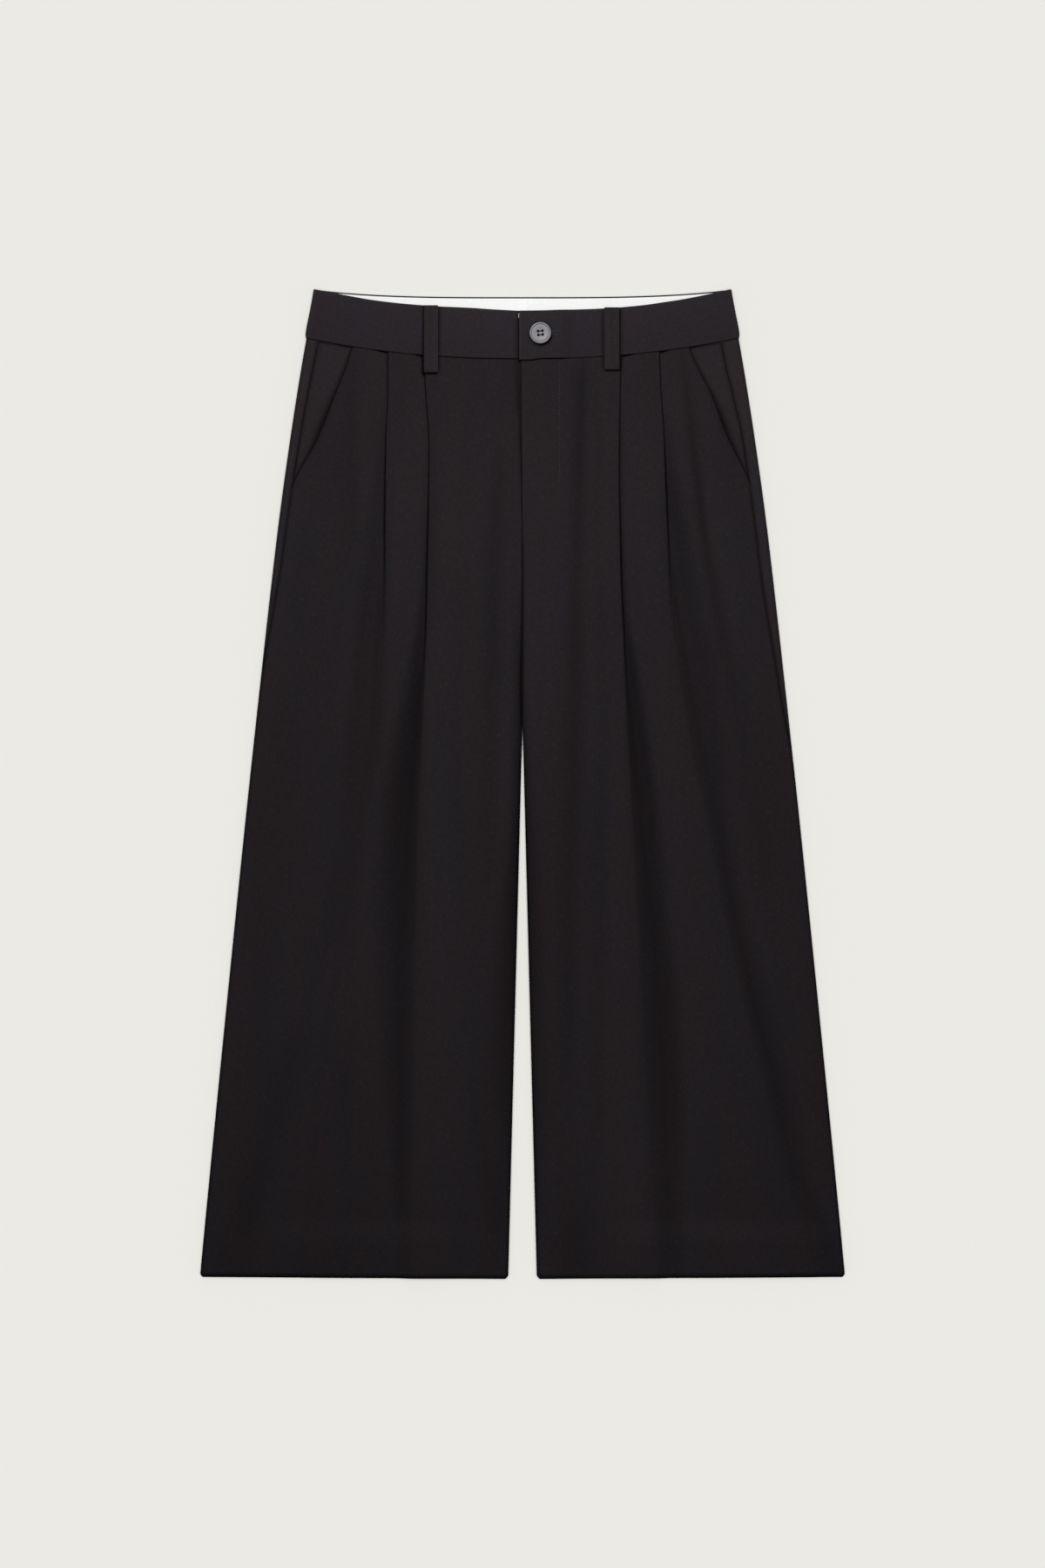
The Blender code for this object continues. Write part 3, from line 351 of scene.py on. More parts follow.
# Painted shade in the folds' troughs, put into the cloth's colour, and painted light on ridges where the
# share is
# below 0: its share at the middle, and how far it reaches inwards and outwards. The first one of each side
# runs down the fly, the centre seam and the inseam.
FOLD_SHADES = {
    "right": tables(
        "drop across inner outer share",
        (
            (58, 3.6, 3.9, 3.2, 0.34), (67, 3.6, 3.9, 3.3, 0.34), (78, 2.9, 3, 3.5, 0.4),
            (92, 2.4, 2.4, 2.9, 0.43), (107, 1.6, 2, 2.5, 0.42), (121, 1.3, 2, 1.8, 0.52),
            (135, 1, 2, 1.6, 0.55), (150, 0.8, 2, 1.5, 0.55), (164, 0.4, 2, 1.3, 0.5),
            (179, 0.2, 1.5, 1.1, 0.5), (193, 0.1, 1, 0.8, 0.4), (222, 0.1, 1, 0.8, 0.5),
            (250, 0.15, 1, 1, 0.7), (265, 0.15, 1, 1.1, 0.78), (294, 0.8, 1.5, 1.3, 0.7),
            (323, 1.3, 1.3, 1.3, 0.75), (351, 1, 1.3, 1.3, 0.8), (372, 1.2, 1.3, 1.3, 0.4),
            (400, 1.5, 1.3, 1.3, 0),
        ),
        (
            (250, 2, 3, 3, 0), (265, 3, 3, 3, 0.12), (294, 3, 5, 5, 0.2), (323, 3, 4, 4, 0.3),
            (351, 2.5, 5, 5, 0.3), (373, 1.5, 3, 6, 0.42), (405, 1.3, 3, 6, 0.5),
            (445, 2.4, 3, 7.5, 0.55), (517, 4.4, 3, 12, 0.5), (589, 6.3, 3, 15, 0.42),
            (661, 8.3, 3, 15, 0.32), (733, 10.2, 3, 9, 0.15), (800, 12, 3, 8, 0),
        ),
        (
            (45, 122, 8, 8, 0), (78, 122, 8, 8, 0.04), (106, 122, 8, 8, 0.08), (135, 122, 8, 8, 0.08),
            (164, 122, 8, 8, 0.02), (193, 122, 8, 8, 0),
        ),
        (
            (90, 75, 3, 3, 0), (135, 74.5, 3, 3, 0.06), (164, 74.5, 4, 3, 0.1), (193, 75, 4, 3, 0.12),
            (222, 75.5, 4, 3, 0.1), (260, 77, 3, 3, 0.03), (308, 79, 3, 3, 0),
        ),
        (
            (120, 17.5, 8, 8, 0), (135, 18, 7, 7, 0.06), (193, 23.8, 8, 8, 0.12), (250, 25.2, 8, 8, 0.15),
            (308, 26.6, 8, 8, 0.15), (373, 29.5, 8, 8, 0.08), (445, 29, 9, 9, 0.08), (520, 29, 9, 9, 0),
        ),
        (
            (58, 46.8, 8, 8, 0), (135, 46.8, 8, 8, 0.05), (193, 50, 8, 8, 0.03), (308, 54, 8, 8, 0.07),
            (373, 56, 8, 8, 0.08), (480, 55, 8, 8, 0.02), (600, 55, 8, 8, 0),
        ),
        (
            (58, 141, 5, 6, 0.04), (78, 141, 5, 6, 0.08), (135, 143, 9, 8, 0.12),
            (193, 143, 10, 10, 0.12), (230, 141, 10, 10, 0.05), (260, 139, 10, 10, 0),
        ),
        (
            (590, 180, 14, 14, 0), (640, 195, 14, 14, 0.08), (700, 212, 13, 13, 0.12),
            (755, 227, 13, 15, 0.14), (817, 242, 12, 16, 0.1),
        ),
        (
            (640, 40, 12, 10, 0), (700, 36, 12, 10, 0.06), (733, 28, 12, 10, 0.1), (775, 24, 10, 10, 0.1),
            (817, 22, 8, 8, 0.03),
        ),
        (
            (589, 147, 10, 10, 0), (640, 147, 10, 10, 0.08), (661, 147, 8, 8, 0.1),
            (700, 150, 8, 8, 0.04), (740, 150, 8, 8, 0),
        ),
        (
            (193, 175, 30, 20, 0), (308, 175, 30, 25, 0.05), (373, 178, 30, 30, 0.07),
            (445, 190, 30, 30, 0.06), (520, 195, 30, 30, 0.04), (600, 200, 30, 30, 0),
        ),
        ((700, 130, 90, 90, 0), (783, 130, 100, 110, 0.06), (817, 130, 100, 110, 0.08)),
        (
            (100, 14, 8, 8, 0), (135, 13, 8, 8, -0.03), (193, 12, 8, 8, -0.03), (250, 12, 8, 8, -0.06),
            (373, 13, 8, 8, -0.05), (445, 16, 8, 8, -0.02), (517, 20, 8, 8, 0),
        ),
        (
            (445, 62, 25, 25, 0), (517, 62, 25, 25, -0.02), (589, 60, 25, 25, -0.05),
            (661, 60, 25, 25, -0.04), (733, 62, 20, 20, -0.06), (783, 62, 18, 18, -0.05),
            (817, 62, 18, 18, -0.03),
        ),
        (
            (160, 190, 20, 20, 0), (193, 190, 20, 20, -0.05), (250, 197, 20, 20, -0.05),
            (308, 200, 18, 18, -0.02), (373, 205, 18, 18, 0),
        ),
        (
            (445, 232, 12, 8, 0), (517, 237, 14, 8, -0.06), (589, 241, 16, 8, -0.07),
            (661, 249, 14, 8, -0.08), (733, 255, 10, 8, -0.06), (790, 260, 10, 8, 0),
        ),
    ),
    "left": tables(
        "drop across inner outer share",
        (
            (200, 0.5, 0.9, 0.9, 0), (215, 0.5, 0.9, 0.9, 0.4), (250, 0.5, 0.9, 0.9, 0.5),
            (351, 0.5, 0.9, 0.9, 0.5), (373, 0.8, 0.9, 0.9, 0.3), (400, 1, 0.9, 0.9, 0),
        ),
        (
            (222, 0.3, 3, 3, 0), (250, 0.3, 3, 3, 0.05), (323, 0.5, 3, 3.5, 0.1), (351, 1, 3, 4, 0.15),
            (373, 1.5, 3, 4, 0.3), (445, 3, 3, 7, 0.35), (517, 4.5, 3, 9, 0.35), (589, 6.3, 3, 10, 0.3),
            (661, 8.3, 3, 11, 0.25), (733, 10.2, 3, 7, 0.15), (800, 12, 3, 6, 0),
        ),
        (
            (58, 50.5, 4, 4, 0.05), (78, 49.7, 5, 5, 0.2), (135, 48.2, 6, 6, 0.22),
            (193, 46.8, 6, 7, 0.22), (250, 45, 7, 7, 0.18), (308, 45, 8, 8, 0.2), (373, 43.2, 8, 8, 0.2),
            (445, 41, 9, 8, 0.17), (517, 37.4, 12, 9, 0.14), (589, 36, 14, 10, 0.12),
            (661, 34, 14, 10, 0.05), (733, 34, 14, 10, 0),
        ),
        (
            (58, 59.8, 4, 4, 0), (78, 59.8, 4, 4, 0.08), (135, 63, 4, 4, 0.1), (193, 60.5, 5, 5, 0.08),
            (250, 63, 5, 5, 0.06), (308, 66, 6, 6, 0.06), (373, 66, 6, 6, 0.05), (445, 64, 6, 6, 0.06),
            (589, 64, 6, 6, 0.05), (661, 64, 5, 5, 0.05), (740, 64, 5, 5, 0),
        ),
        (
            (58, 132, 3, 3, 0.05), (78, 135.4, 3.5, 3.5, 0.16), (135, 141.8, 4.5, 4.5, 0.25),
            (193, 149, 4.5, 4.5, 0.28), (250, 158.4, 6, 7, 0.22), (308, 169.2, 8, 9, 0.16),
            (373, 181, 10, 12, 0.1), (445, 190, 12, 12, 0.05), (517, 200, 12, 12, 0),
        ),
        ((733, 40, 12, 12, 0), (783, 42, 15, 14, 0.13), (817, 42, 15, 14, 0.12)),
        (
            (330, 203, 15, 15, 0), (373, 205, 15, 15, 0.04), (445, 205, 15, 15, 0.07),
            (517, 206, 15, 15, 0),
        ),
        (
            (200, 22, 16, 22, 0), (250, 20, 16, 22, -0.04), (308, 22, 16, 22, -0.05),
            (373, 22, 14, 20, -0.05), (445, 22, 14, 16, -0.02), (517, 24, 14, 14, 0),
        ),
        (
            (517, 52, 14, 12, 0), (589, 50, 14, 14, -0.05), (661, 48, 14, 14, -0.08),
            (733, 55, 16, 16, -0.06), (783, 60, 16, 16, 0),
        ),
        (
            (445, 84, 16, 10, 0), (517, 83, 16, 10, -0.02), (589, 80, 18, 12, -0.04),
            (661, 82, 20, 12, -0.07), (733, 88, 26, 14, -0.1), (783, 86, 26, 16, -0.08),
            (817, 84, 26, 16, -0.06),
        ),
        (
            (160, 170, 18, 16, 0), (193, 172, 18, 18, -0.04), (250, 176, 18, 18, -0.06),
            (308, 178, 18, 18, -0.02), (373, 180, 18, 18, 0),
        ),
        ((58, 118, 8, 14, 0), (78, 120, 8, 14, -0.05), (135, 122, 8, 14, -0.02), (193, 126, 8, 14, 0)),
        (
            (661, 168, 20, 20, 0), (733, 168, 24, 24, -0.04), (783, 170, 24, 24, -0.05),
            (817, 170, 24, 24, -0.04),
        ),
    ),
}
# Painted shade beside the pleats: how far past the fold's edge it is deepest, how far past it ends, its
# share, and how much painted light the fold's own edge has back
PLEAT_SHADES = {
    "right": tables(
        "drop deep end share light",
        (
            (38, 0.5, 4, 0, 0), (78, 0.5, 4, 0, 0), (135, 0.5, 4, 0.1, 0), (193, 0.5, 7, 0.17, 0.2),
            (222, 1, 7, 0.25, 0.4), (250, 1.5, 9, 0.3, 0.5), (279, 3, 14, 0.36, 0.45),
            (308, 6, 18, 0.4, 0.4), (340, 8, 24, 0.42, 0.1), (373, 11, 32, 0.42, 0),
            (445, 16, 40, 0.36, 0), (517, 15, 40, 0.26, 0), (589, 14, 36, 0.2, 0), (661, 11, 30, 0.22, 0),
            (733, 9, 23, 0.14, 0), (783, 8, 20, 0.02, 0), (817, 8, 20, 0, 0),
        ),
        (
            (38, 0.5, 4, 0, 0), (78, 0.5, 5, 0, 0), (135, 1, 12, 0.14, 0), (164, 4, 18, 0.16, 0.15),
            (193, 8, 24, 0.18, 0.5), (222, 10, 25, 0.21, 0.5), (250, 14, 28, 0.22, 0.4),
            (279, 16, 30, 0.2, 0.25), (308, 17, 30, 0.18, 0.12), (373, 18, 32, 0.18, 0),
            (445, 14, 28, 0.13, 0), (517, 16, 28, 0.1, 0), (589, 16, 28, 0, 0), (817, 16, 28, 0, 0),
        ),
    ),
    "left": tables(
        "drop deep end share light",
        (
            (38, 0.5, 4, 0, 0), (78, 0.5, 4, 0, 0), (135, 0.5, 5, 0.35, 0), (193, 0.5, 5, 0.4, 0.15),
            (222, 0.8, 7, 0.38, 0.35), (250, 1, 8, 0.34, 0.5), (279, 2, 10, 0.4, 0.4),
            (308, 5, 14, 0.43, 0.3), (340, 8, 18, 0.42, 0.1), (373, 11, 22, 0.38, 0),
            (445, 14, 28, 0.34, 0), (517, 16, 30, 0.3, 0), (589, 20, 36, 0.28, 0), (661, 20, 36, 0.25, 0),
            (733, 18, 30, 0.15, 0), (783, 16, 26, 0.18, 0), (817, 16, 24, 0.1, 0),
        ),
        (
            (38, 0.5, 4, 0, 0), (78, 0.5, 5, 0, 0), (135, 1.5, 12, 0.24, 0.25), (164, 6, 18, 0.24, 0.1),
            (193, 9, 24, 0.25, 0.4), (222, 12, 26, 0.23, 0.3), (250, 14, 32, 0.22, 0.3),
            (279, 16, 32, 0.21, 0.2), (308, 20, 36, 0.2, 0.1), (373, 18, 38, 0.21, 0),
            (445, 9, 27, 0.19, 0), (517, 7, 26, 0.18, 0), (589, 8, 28, 0.2, 0), (661, 10, 28, 0.18, 0),
            (733, 12, 28, 0.14, 0), (783, 16, 28, 0.16, 0), (817, 16, 28, 0.14, 0),
        ),
    ),
}
# Painted shade, deeper towards the waist seam, and a little painted light near the hem where the share is
# below 0
LENGTH_SHADE = table(
    "drop share",
    (38, 0.1), (78, 0.1), (135, 0.06), (193, 0.04), (308, 0.03), (445, 0.02), (589, 0), (817, -0.02),
)
# Painted light and shade put into the cloth's colour: at the pleats' edges, the seams, the belt loops, the
# button, the waistband's lap and edges, the outline's rims, the pocket's mouth and in slow streaks down the
# legs
EDGE_LIGHT_OUT = 1.7
EDGE_LIGHT_WIDTH = 1.4
PLEAT_SHADE_IN = 1.0
PLEAT_SHADE_IN_SHARE = 0.5
SHADE_RANGE = (-0.5, 0.85)
SEAM_SHADE = 0.6
DEEP_SEAM_SHADE = 0.22
DEEP_SEAM = (55.0, 85.0)
SIDE_SHADES = (150.0, 175.0)
STRIP_LIGHT = 0.1
RIM_LIGHT = 0.15
STRIP_LIGHTS = (240.0, 420.0)
LOOP_SHADES = (0.64, 0.51)
LOOP_SHADE_REACH = 1.7
LOOP_SHADE_ENDS = (-2.0, 1.0)
LOOP_FOOT_REACH = 1.2
LOOP_FOOT_SIDES = (-0.5, 0.5)
BUTTON_SHADE = 0.6
BUTTON_SHADE_DOWN = 0.8
BUTTON_SHADE_REACH = 1.3
LAP_SHADE = 0.6
LAP_SHADE_REACH = 4.2
LAP_SHADE_AT_TOP = 0.35
LAP_SHADE_GROWS = (2.0, 9.0)
LAP_EDGE_LIGHT = 0.25
LAP_EDGE_REACH = 0.8
BAND_TOP_LIGHT = 0.12
BAND_TOP_REACH = 1.6
RIM_LIGHT_REACH = 2.5
BAND_RIM_LIGHT = {"right": 0.28, "left": 0.12}
BAND_SHADE = 0.1
RIM_SHADE = 0.6
INSEAM_SHADE = 0.92
HEM_SHADE = 0.95
SIDE_SHADE = 0.4
SIDE_SHADE_GROWS = (600.0, 700.0)
RIM_IN = 0.4
RIM_WIDTH = 1.45
EDGE_SHADE = 0.45
EDGE_REACH = 1.5
MOUTH_SHADE = 0.25
MOUTH_SHADE_REACH = 3.0
POCKET_SHADE = 0.68
POCKET_SHADE_REACH = (1.6, 5.0)
STREAK_SHADE = 0.05
STREAKS = (9.0, 210.0)

BAND_SEEDS = {"right": 5, "left": 9}
BAND_RIPPLE = 0.12
BAND_RIPPLE_LENGTH = 16.0
BAND_CROWN = 0.14
LOOP_CROWN = 0.28

# Stitches
THREAD_SIDES = 6
STITCH_POINTS = 7
STITCH_RISE = 0.14
STITCH_SINK = 0.04
STITCH_UNEVEN = 0.5
STITCH_TAPER = 0.8
STITCH_BELOW = -0.2
THREAD_RADIUS = 0.17
PROBE_FROM = 50.0
TOPSTITCH_PITCH = 2.6
TOPSTITCH_LENGTH = 1.5
LINE_POINTS = 120
EDGE_STITCH_IN = 2.0
WAIST_STITCH_END = 6.0
HEM_PITCH = 2.7
HEM_STITCH_IN = 0.6
HEM_STITCH_END = 4.0
LOOP_STITCH_PLACES = (0.25, 0.75)
LOOP_STITCH_PITCH = 2.6
LOOP_STITCH_LENGTH = 1.2
LOOP_STITCH_ENDS = (1.0, 1.5)
FLY_STITCH_ACROSS = 30.6
FLY_STITCH_TOP = 59.6
FLY_CURVE_TOP = 160.0
FLY_CURVE = table(
    "drop across",
    (161.0, 30.7), (168.0, 30.9), (176.0, 30.8), (182.0, 29.8), (187.2, 28.0), (191.2, 25.0),
    (193.8, 22.2), (195.6, 18.6), (197.2, 12.0), (198.6, 7.0),
)
BAR_TACK_ACROSS = (1.4, 6.6)
BAR_TACK_DROP = 199.8
BAR_TACK_WIDTH = 1.5
BAR_TACK_STITCHES = 9
BAR_TACK_SLANT = 0.15

BUTTONHOLE_SPAN = (5.0, 28.6)
BUTTONHOLE_EYE = 1.15
BUTTONHOLE_HALF = 0.35
BUTTONHOLE_STITCH = 1.55
BUTTONHOLE_PITCH = 0.42
BUTTONHOLE_THREAD = 0.16
BUTTONHOLE_RISE = 0.3
BUTTONHOLE_FOOT = 0.15
BUTTONHOLE_POINTS = (46, 40, 14)
BUTTON_STANDS = 0.3
BUTTON_STEPS = 72
HOLE_STEPS = 24
BUTTON_SHARP = 40.0
BUTTON_STRANDS = (-0.2, 0.2)
STRAND_RADIUS = 0.13
STRAND_SINK = 0.1
STRAND_SIDES = 8
STRANDS_IN_HOLE = 0.4

# A place's drop and across depend on each other, so they are worked out in turn, this many times
PASSES = 4


def along(columns, name, place, key="drop"):
    """One column of a table read at any place, by a smooth curve that never passes its rows' values."""
    places, values = columns[key], columns[name]
    steps = np.diff(values) / np.diff(places)
    same_way = steps[:-1] * steps[1:] > 0
    slopes = np.concatenate([steps[:1], np.zeros(len(steps) - 1), steps[-1:]])
    slopes[1:-1][same_way] = 2 / (1 / steps[:-1][same_way] + 1 / steps[1:][same_way])
    row = np.clip(np.searchsorted(places, place) - 1, 0, len(places) - 2)
    span = places[row + 1] - places[row]
    part = np.clip((place - places[row]) / span, 0, 1)
    return (
        values[row] * (1 + 2 * part) * (1 - part) ** 2
        + values[row + 1] * part**2 * (3 - 2 * part)
        + span * part * (1 - part) * (slopes[row] * (1 - part) - slopes[row + 1] * part)
    )


def ease(value, start, stop):
    """0 before start, 1 after stop, and a smooth step between them."""
    part = np.clip((value - start) / np.maximum(stop - start, 1e-6), 0, 1)
    return part**2 * (3 - 2 * part)


# Outline


def inner_edge(drop):
    """Half the space between the two sides: a seam's gap to the crotch, then what parts the legs."""
    return SEAM_GAP / 2 + INSEAM_SPREAD * np.maximum(drop - CROTCH_DROP, 0)


def front_seam(side, across):
    """Drop of the waist seam in front, which sags a little beside the fly on the left."""
    seam = FRONT_SEAM_DROP - FRONT_SEAM_RISE * (np.abs(across) / SEAM_HALF) ** FRONT_SEAM_POWER
    return seam + FLY_SAG * (1 - ease(across, *FLY_SAGS)) if side == "left" else seam


def back_seam(across):
    """Drop of the waist seam behind: it rises by a power of its place."""
    return BACK_SEAM_DROP - BACK_SEAM_RISE * (np.abs(across) / SEAM_HALF) ** BACK_SEAM_POWER


def hem_line(across):
    """Drop of the hem: a straight line from the inseam to the side, rounded where it meets them."""
    inner, outer = inner_edge(HEM_DROP_INNER), along(HALF_WIDTH, "across", HEM_DROP_OUTER)
    slope = (HEM_DROP_OUTER - HEM_DROP_INNER) / (outer - inner)
    from_edge = np.clip(np.minimum(outer - across, across - inner), 0, HEM_CORNER)
    return HEM_DROP_INNER + slope * (across - inner) - HEM_CORNER * (1 - from_edge / HEM_CORNER) ** 2


def crotch_turn(drop):
    """How far the inner edges turn to each other, in radians: flat above the crotch, a quarter below."""
    return (math.pi / 2 - BEND_CLEARANCE / FOLD_RADIUS) * ease(drop, *CROTCH_TURNS)


# Paths across the garment. Each gives (across, height) at arrays of places.


def side_fold(path, outline, radius=FOLD_RADIUS, reach=FOLD_REACH):
    """The cloth round the side fold: flat on top while path is below 0, half a turn, flat underneath."""
    angle = np.clip(path / radius, 0, math.pi)
    past = np.minimum(path, 0) - np.maximum(path - math.pi * radius, 0)
    across = outline - reach + past + radius * np.sin(angle)
    return across, FRONT_HEIGHT - FOLD_RADIUS + radius * np.cos(angle)


def seam_path(side, drop):
    """Where the side seam lies on the path of side_fold."""
    inset = along(SIDE_SEAM[side], "inset", drop)
    on_bend = np.arcsin(np.clip(1 - inset / FOLD_REACH, 0, 1)) * FOLD_RADIUS
    return np.where(inset > FOLD_REACH, FOLD_REACH - inset, on_bend)


def seam_clearance(path):
    """Half the gap of the side seam: the square ends of the cloth need more of it on the bend."""
    return SEAM_GAP / 2 + (BEND_CLEARANCE - SEAM_GAP / 2) * ease(path, *BEND_NEAR)


def front_end_path(side, drop):
    """Where the front's outer edge lies on that path: at the pocket's slant, then at the side seam."""
    outline = along(HALF_WIDTH, "across", drop)
    slant = along(POCKET_EDGE[side], "across", drop) - (outline - FOLD_REACH)
    seam = seam_path(side, drop)
    return np.minimum(seam - seam_clearance(seam), slant)


def bent_edge(part, length, end, height, turn, upward):
    """A panel's inner strip. part runs from 0 at its edge to 1, and the edge turns up or down by turn."""
    path = part * length
    left_to_turn = np.maximum(turn - path / FOLD_RADIUS, 0)
    flat = np.maximum(path - FOLD_RADIUS * turn, 0)
    across = end + FOLD_RADIUS * (np.sin(turn) - np.sin(left_to_turn)) + flat
    dip = FOLD_RADIUS * (1 - np.cos(left_to_turn))
    return across, height + dip if upward else height - dip


def fly_open(drop):
    """1 down the fly and 0 below it."""
    return 1 - ease(drop, *FLY_END)


def front_inner(side, part, drop):
    """The front's inner strip: the fly's lap at the top, then the centre seam, then the leg's inseam."""
    turn = crotch_turn(drop)
    fly = fly_open(drop)
    lap = -FLY_LEAN * (1 - ease(drop, *FLY_LEANS)) if side == "left" else -(FLY_LAP + SEAM_GAP / 2)
    end = inner_edge(drop) + lap * fly + CLOTH / 2 * np.sin(turn)
    length = QUARTER_TURN + (FLY_STRIP - QUARTER_TURN) * fly
    return bent_edge(part, length, end, front_inner_height(side, drop), turn, False)


def front_inner_height(side, drop):
    """Height of the front along the centre: lapped at the fly, lower below it, level at the legs."""
    waist, lapped = FLY_HEIGHTS[side]
    at_fly = waist + (lapped - waist) * ease(drop, *FLY_SETTLES)
    below = at_fly + (SEAM_HEIGHT - at_fly) * ease(drop, *FLY_MERGES)
    return FRONT_HEIGHT + below * (1 - ease(drop, *SEAM_RISES))


def pleat_numbers(pleat, drop):
    """A pleat at a drop: its turn in radians, its sizes, its heights, and where it starts and ends.

    lap is how far its underlay reaches back under it.
    """
    turn = np.radians(along(pleat, "turn", drop))
    underlay = along(pleat, "underlay", drop)
    fold = along(pleat, "fold_radius", drop)
    valley = along(pleat, "valley_radius", drop)
    low = floor_height(drop) + along(pleat, "lift", drop)
    high = low + (fold + valley) * (1 - np.cos(turn)) + underlay * np.sin(turn)
    edge = along(pleat, "across", drop)
    start = edge - fold * np.sin(np.minimum(turn, math.pi / 2))
    end = start + (fold + valley) * np.sin(turn) + underlay * np.cos(turn)
    lap = np.maximum(-underlay * np.cos(turn), 0) + PLEAT_CLEAR * (turn > math.pi / 2)
    return {
        "turn": turn,
        "underlay": underlay,
        "fold": fold,
        "valley": valley,
        "low": low,
        "high": high,
        "edge": edge,
        "start": start,
        "end": end,
        "lap": lap,
    }


def floor_height(drop):
    """The lowest that a front may lie: on the back, and near the hem on both turned-up hems."""
    return BACK_HEIGHT + LAYER + 2 * LAYER * ease(drop, *HEM_EASE)


def pleat_fold(pleat, part, drop):
    """The turn at a pleat's edge."""
    numbers = pleat_numbers(pleat, drop)
    angle = numbers["turn"] * part
    across = numbers["start"] + numbers["fold"] * np.sin(angle)
    return across, numbers["high"] - numbers["fold"] * (1 - np.cos(angle))


def pleat_underlay(pleat, part, drop):
    """The straight cloth between a pleat's two turns."""
    across, height = pleat_fold(pleat, np.ones_like(part), drop)
    numbers = pleat_numbers(pleat, drop)
    path = numbers["underlay"] * part
    return across + path * np.cos(numbers["turn"]), height - path * np.sin(numbers["turn"])


def pleat_valley(pleat, part, drop):
    """The turn back at the foot of a pleat, or the valley beside a crease."""
    numbers = pleat_numbers(pleat, drop)
    angle = numbers["turn"] * (1 - part)
    across = numbers["end"] - numbers["valley"] * np.sin(angle)
    return across, numbers["low"] + numbers["valley"] * (1 - np.cos(angle))


def span(side, number, part, drop):
    """The cloth between two folds: it goes smoothly from one height to the next, with soft folds on it."""
    inner_pleat, outer_pleat = PLEATS[side]
    if number == 0:
        start, low = front_inner(side, np.ones_like(part), drop)
        rise_from = start
    else:
        before = pleat_numbers(PLEATS[side][number - 1], drop)
        start, low = before["end"], before["low"]
        rise_from = np.maximum(start, before["edge"] + RISE_MARGIN)
    if number == 2:
        outline = along(HALF_WIDTH, "across", drop)
        path = front_end_path(side, drop) - QUARTER_TURN
        stop, high = side_fold(path, outline)
        high = high + along(POCKET_MOUTH, "lift", drop)
        facing_edge = along(POCKET_EDGE[side], "across", drop) - POCKET_UNDERLAP - RISE_MARGIN
        rise_to = np.where(drop < POCKET_FOOT + POCKET_CLEAR, np.minimum(stop, facing_edge), stop)
        rise_to = np.minimum(rise_to, rise_from + LONGEST_RISE[2])
    else:
        after = pleat_numbers(outer_pleat if number else inner_pleat, drop)
        stop, high = after["start"], after["high"]
        rise_to = stop - after["lap"]
        if number:
            rise_to = np.minimum(rise_to, rise_from + LONGEST_RISE[1])
        else:
            rise_from = np.maximum(rise_from, rise_to - LONGEST_RISE[0])
    across = start + part * (stop - start)
    height = low + (high - low) * ease(across, rise_from, rise_to)
    fade = 1 - (2 * part - 1) ** 8
    for fold in SOFT_FOLDS[side]:
        offset = (across - along(fold, "across", drop)) / along(fold, "half_width", drop)
        height = height + fade * along(fold, "rise", drop) * np.exp(-(offset**2))
    height = height + front_relief(side, across, drop, part, rise_to)
    return across, np.maximum(height, floor_height(drop))


def front_outer(side, part, drop):
    """The front's outer strip, to the pocket's slant or round the side fold to the side seam."""
    outline = along(HALF_WIDTH, "across", drop)
    across, height = side_fold(front_end_path(side, drop) - QUARTER_TURN * (1 - part), outline)
    return across, height + along(POCKET_MOUTH, "lift", drop)


def back_bottom(side, part, drop):
    """The back's cloth, which rests on the surface but for two shallow troughs, seen from below."""
    start, _ = back_inner(np.ones_like(part), drop)
    stop = along(HALF_WIDTH, "across", drop) - FOLD_REACH
    across = start + part * (stop - start)
    return across, BACK_HEIGHT + back_relief(side, across, drop, part)


def back_inner(part, drop):
    """The back's inner strip: the centre back seam, and under the leg a turn up to the inseam."""
    turn = crotch_turn(drop)
    end = inner_edge(drop) + CLOTH / 2 * np.sin(turn)
    return bent_edge(part, QUARTER_TURN, end, BACK_HEIGHT, turn, True)


def back_fold(side, part, drop):
    """The back's cloth going up round the side fold."""
    start = math.pi * FOLD_RADIUS
    path = start + part * (back_strip_start(side, drop) - start)
    return side_fold(path, along(HALF_WIDTH, "across", drop))


def back_strip(side, part, drop):
    """The back's last strip, which lies on the front and ends at the side seam."""
    start = back_strip_start(side, drop)
    seam = seam_path(side, drop)
    stop = seam + seam_clearance(seam)
    return side_fold(start + part * (stop - start), along(HALF_WIDTH, "across", drop))


def back_strip_start(side, drop):
    """Where the back's last strip starts on the path of side_fold: never before the bend does."""
    return np.maximum(seam_path(side, drop) + 2 * BEND_CLEARANCE, 0)


def parts(faces, first=False):
    """Places from 0 to 1 along a stretch, without 0 unless it is the first stretch."""
    places = np.linspace(0, 1, faces + 1)
    return places if first else places[1:]


def across_panel(stretches, drop):
    """Across and height of every column at its own drop, stretch by stretch."""
    across, height = np.empty_like(drop), np.empty_like(drop)
    column = 0
    for stretch, places in stretches:
        columns = slice(column, column + len(places))
        part = np.broadcast_to(places, drop[:, columns].shape)
        across[:, columns], height[:, columns] = stretch(part, drop[:, columns])
        column += len(places)
    return across, height


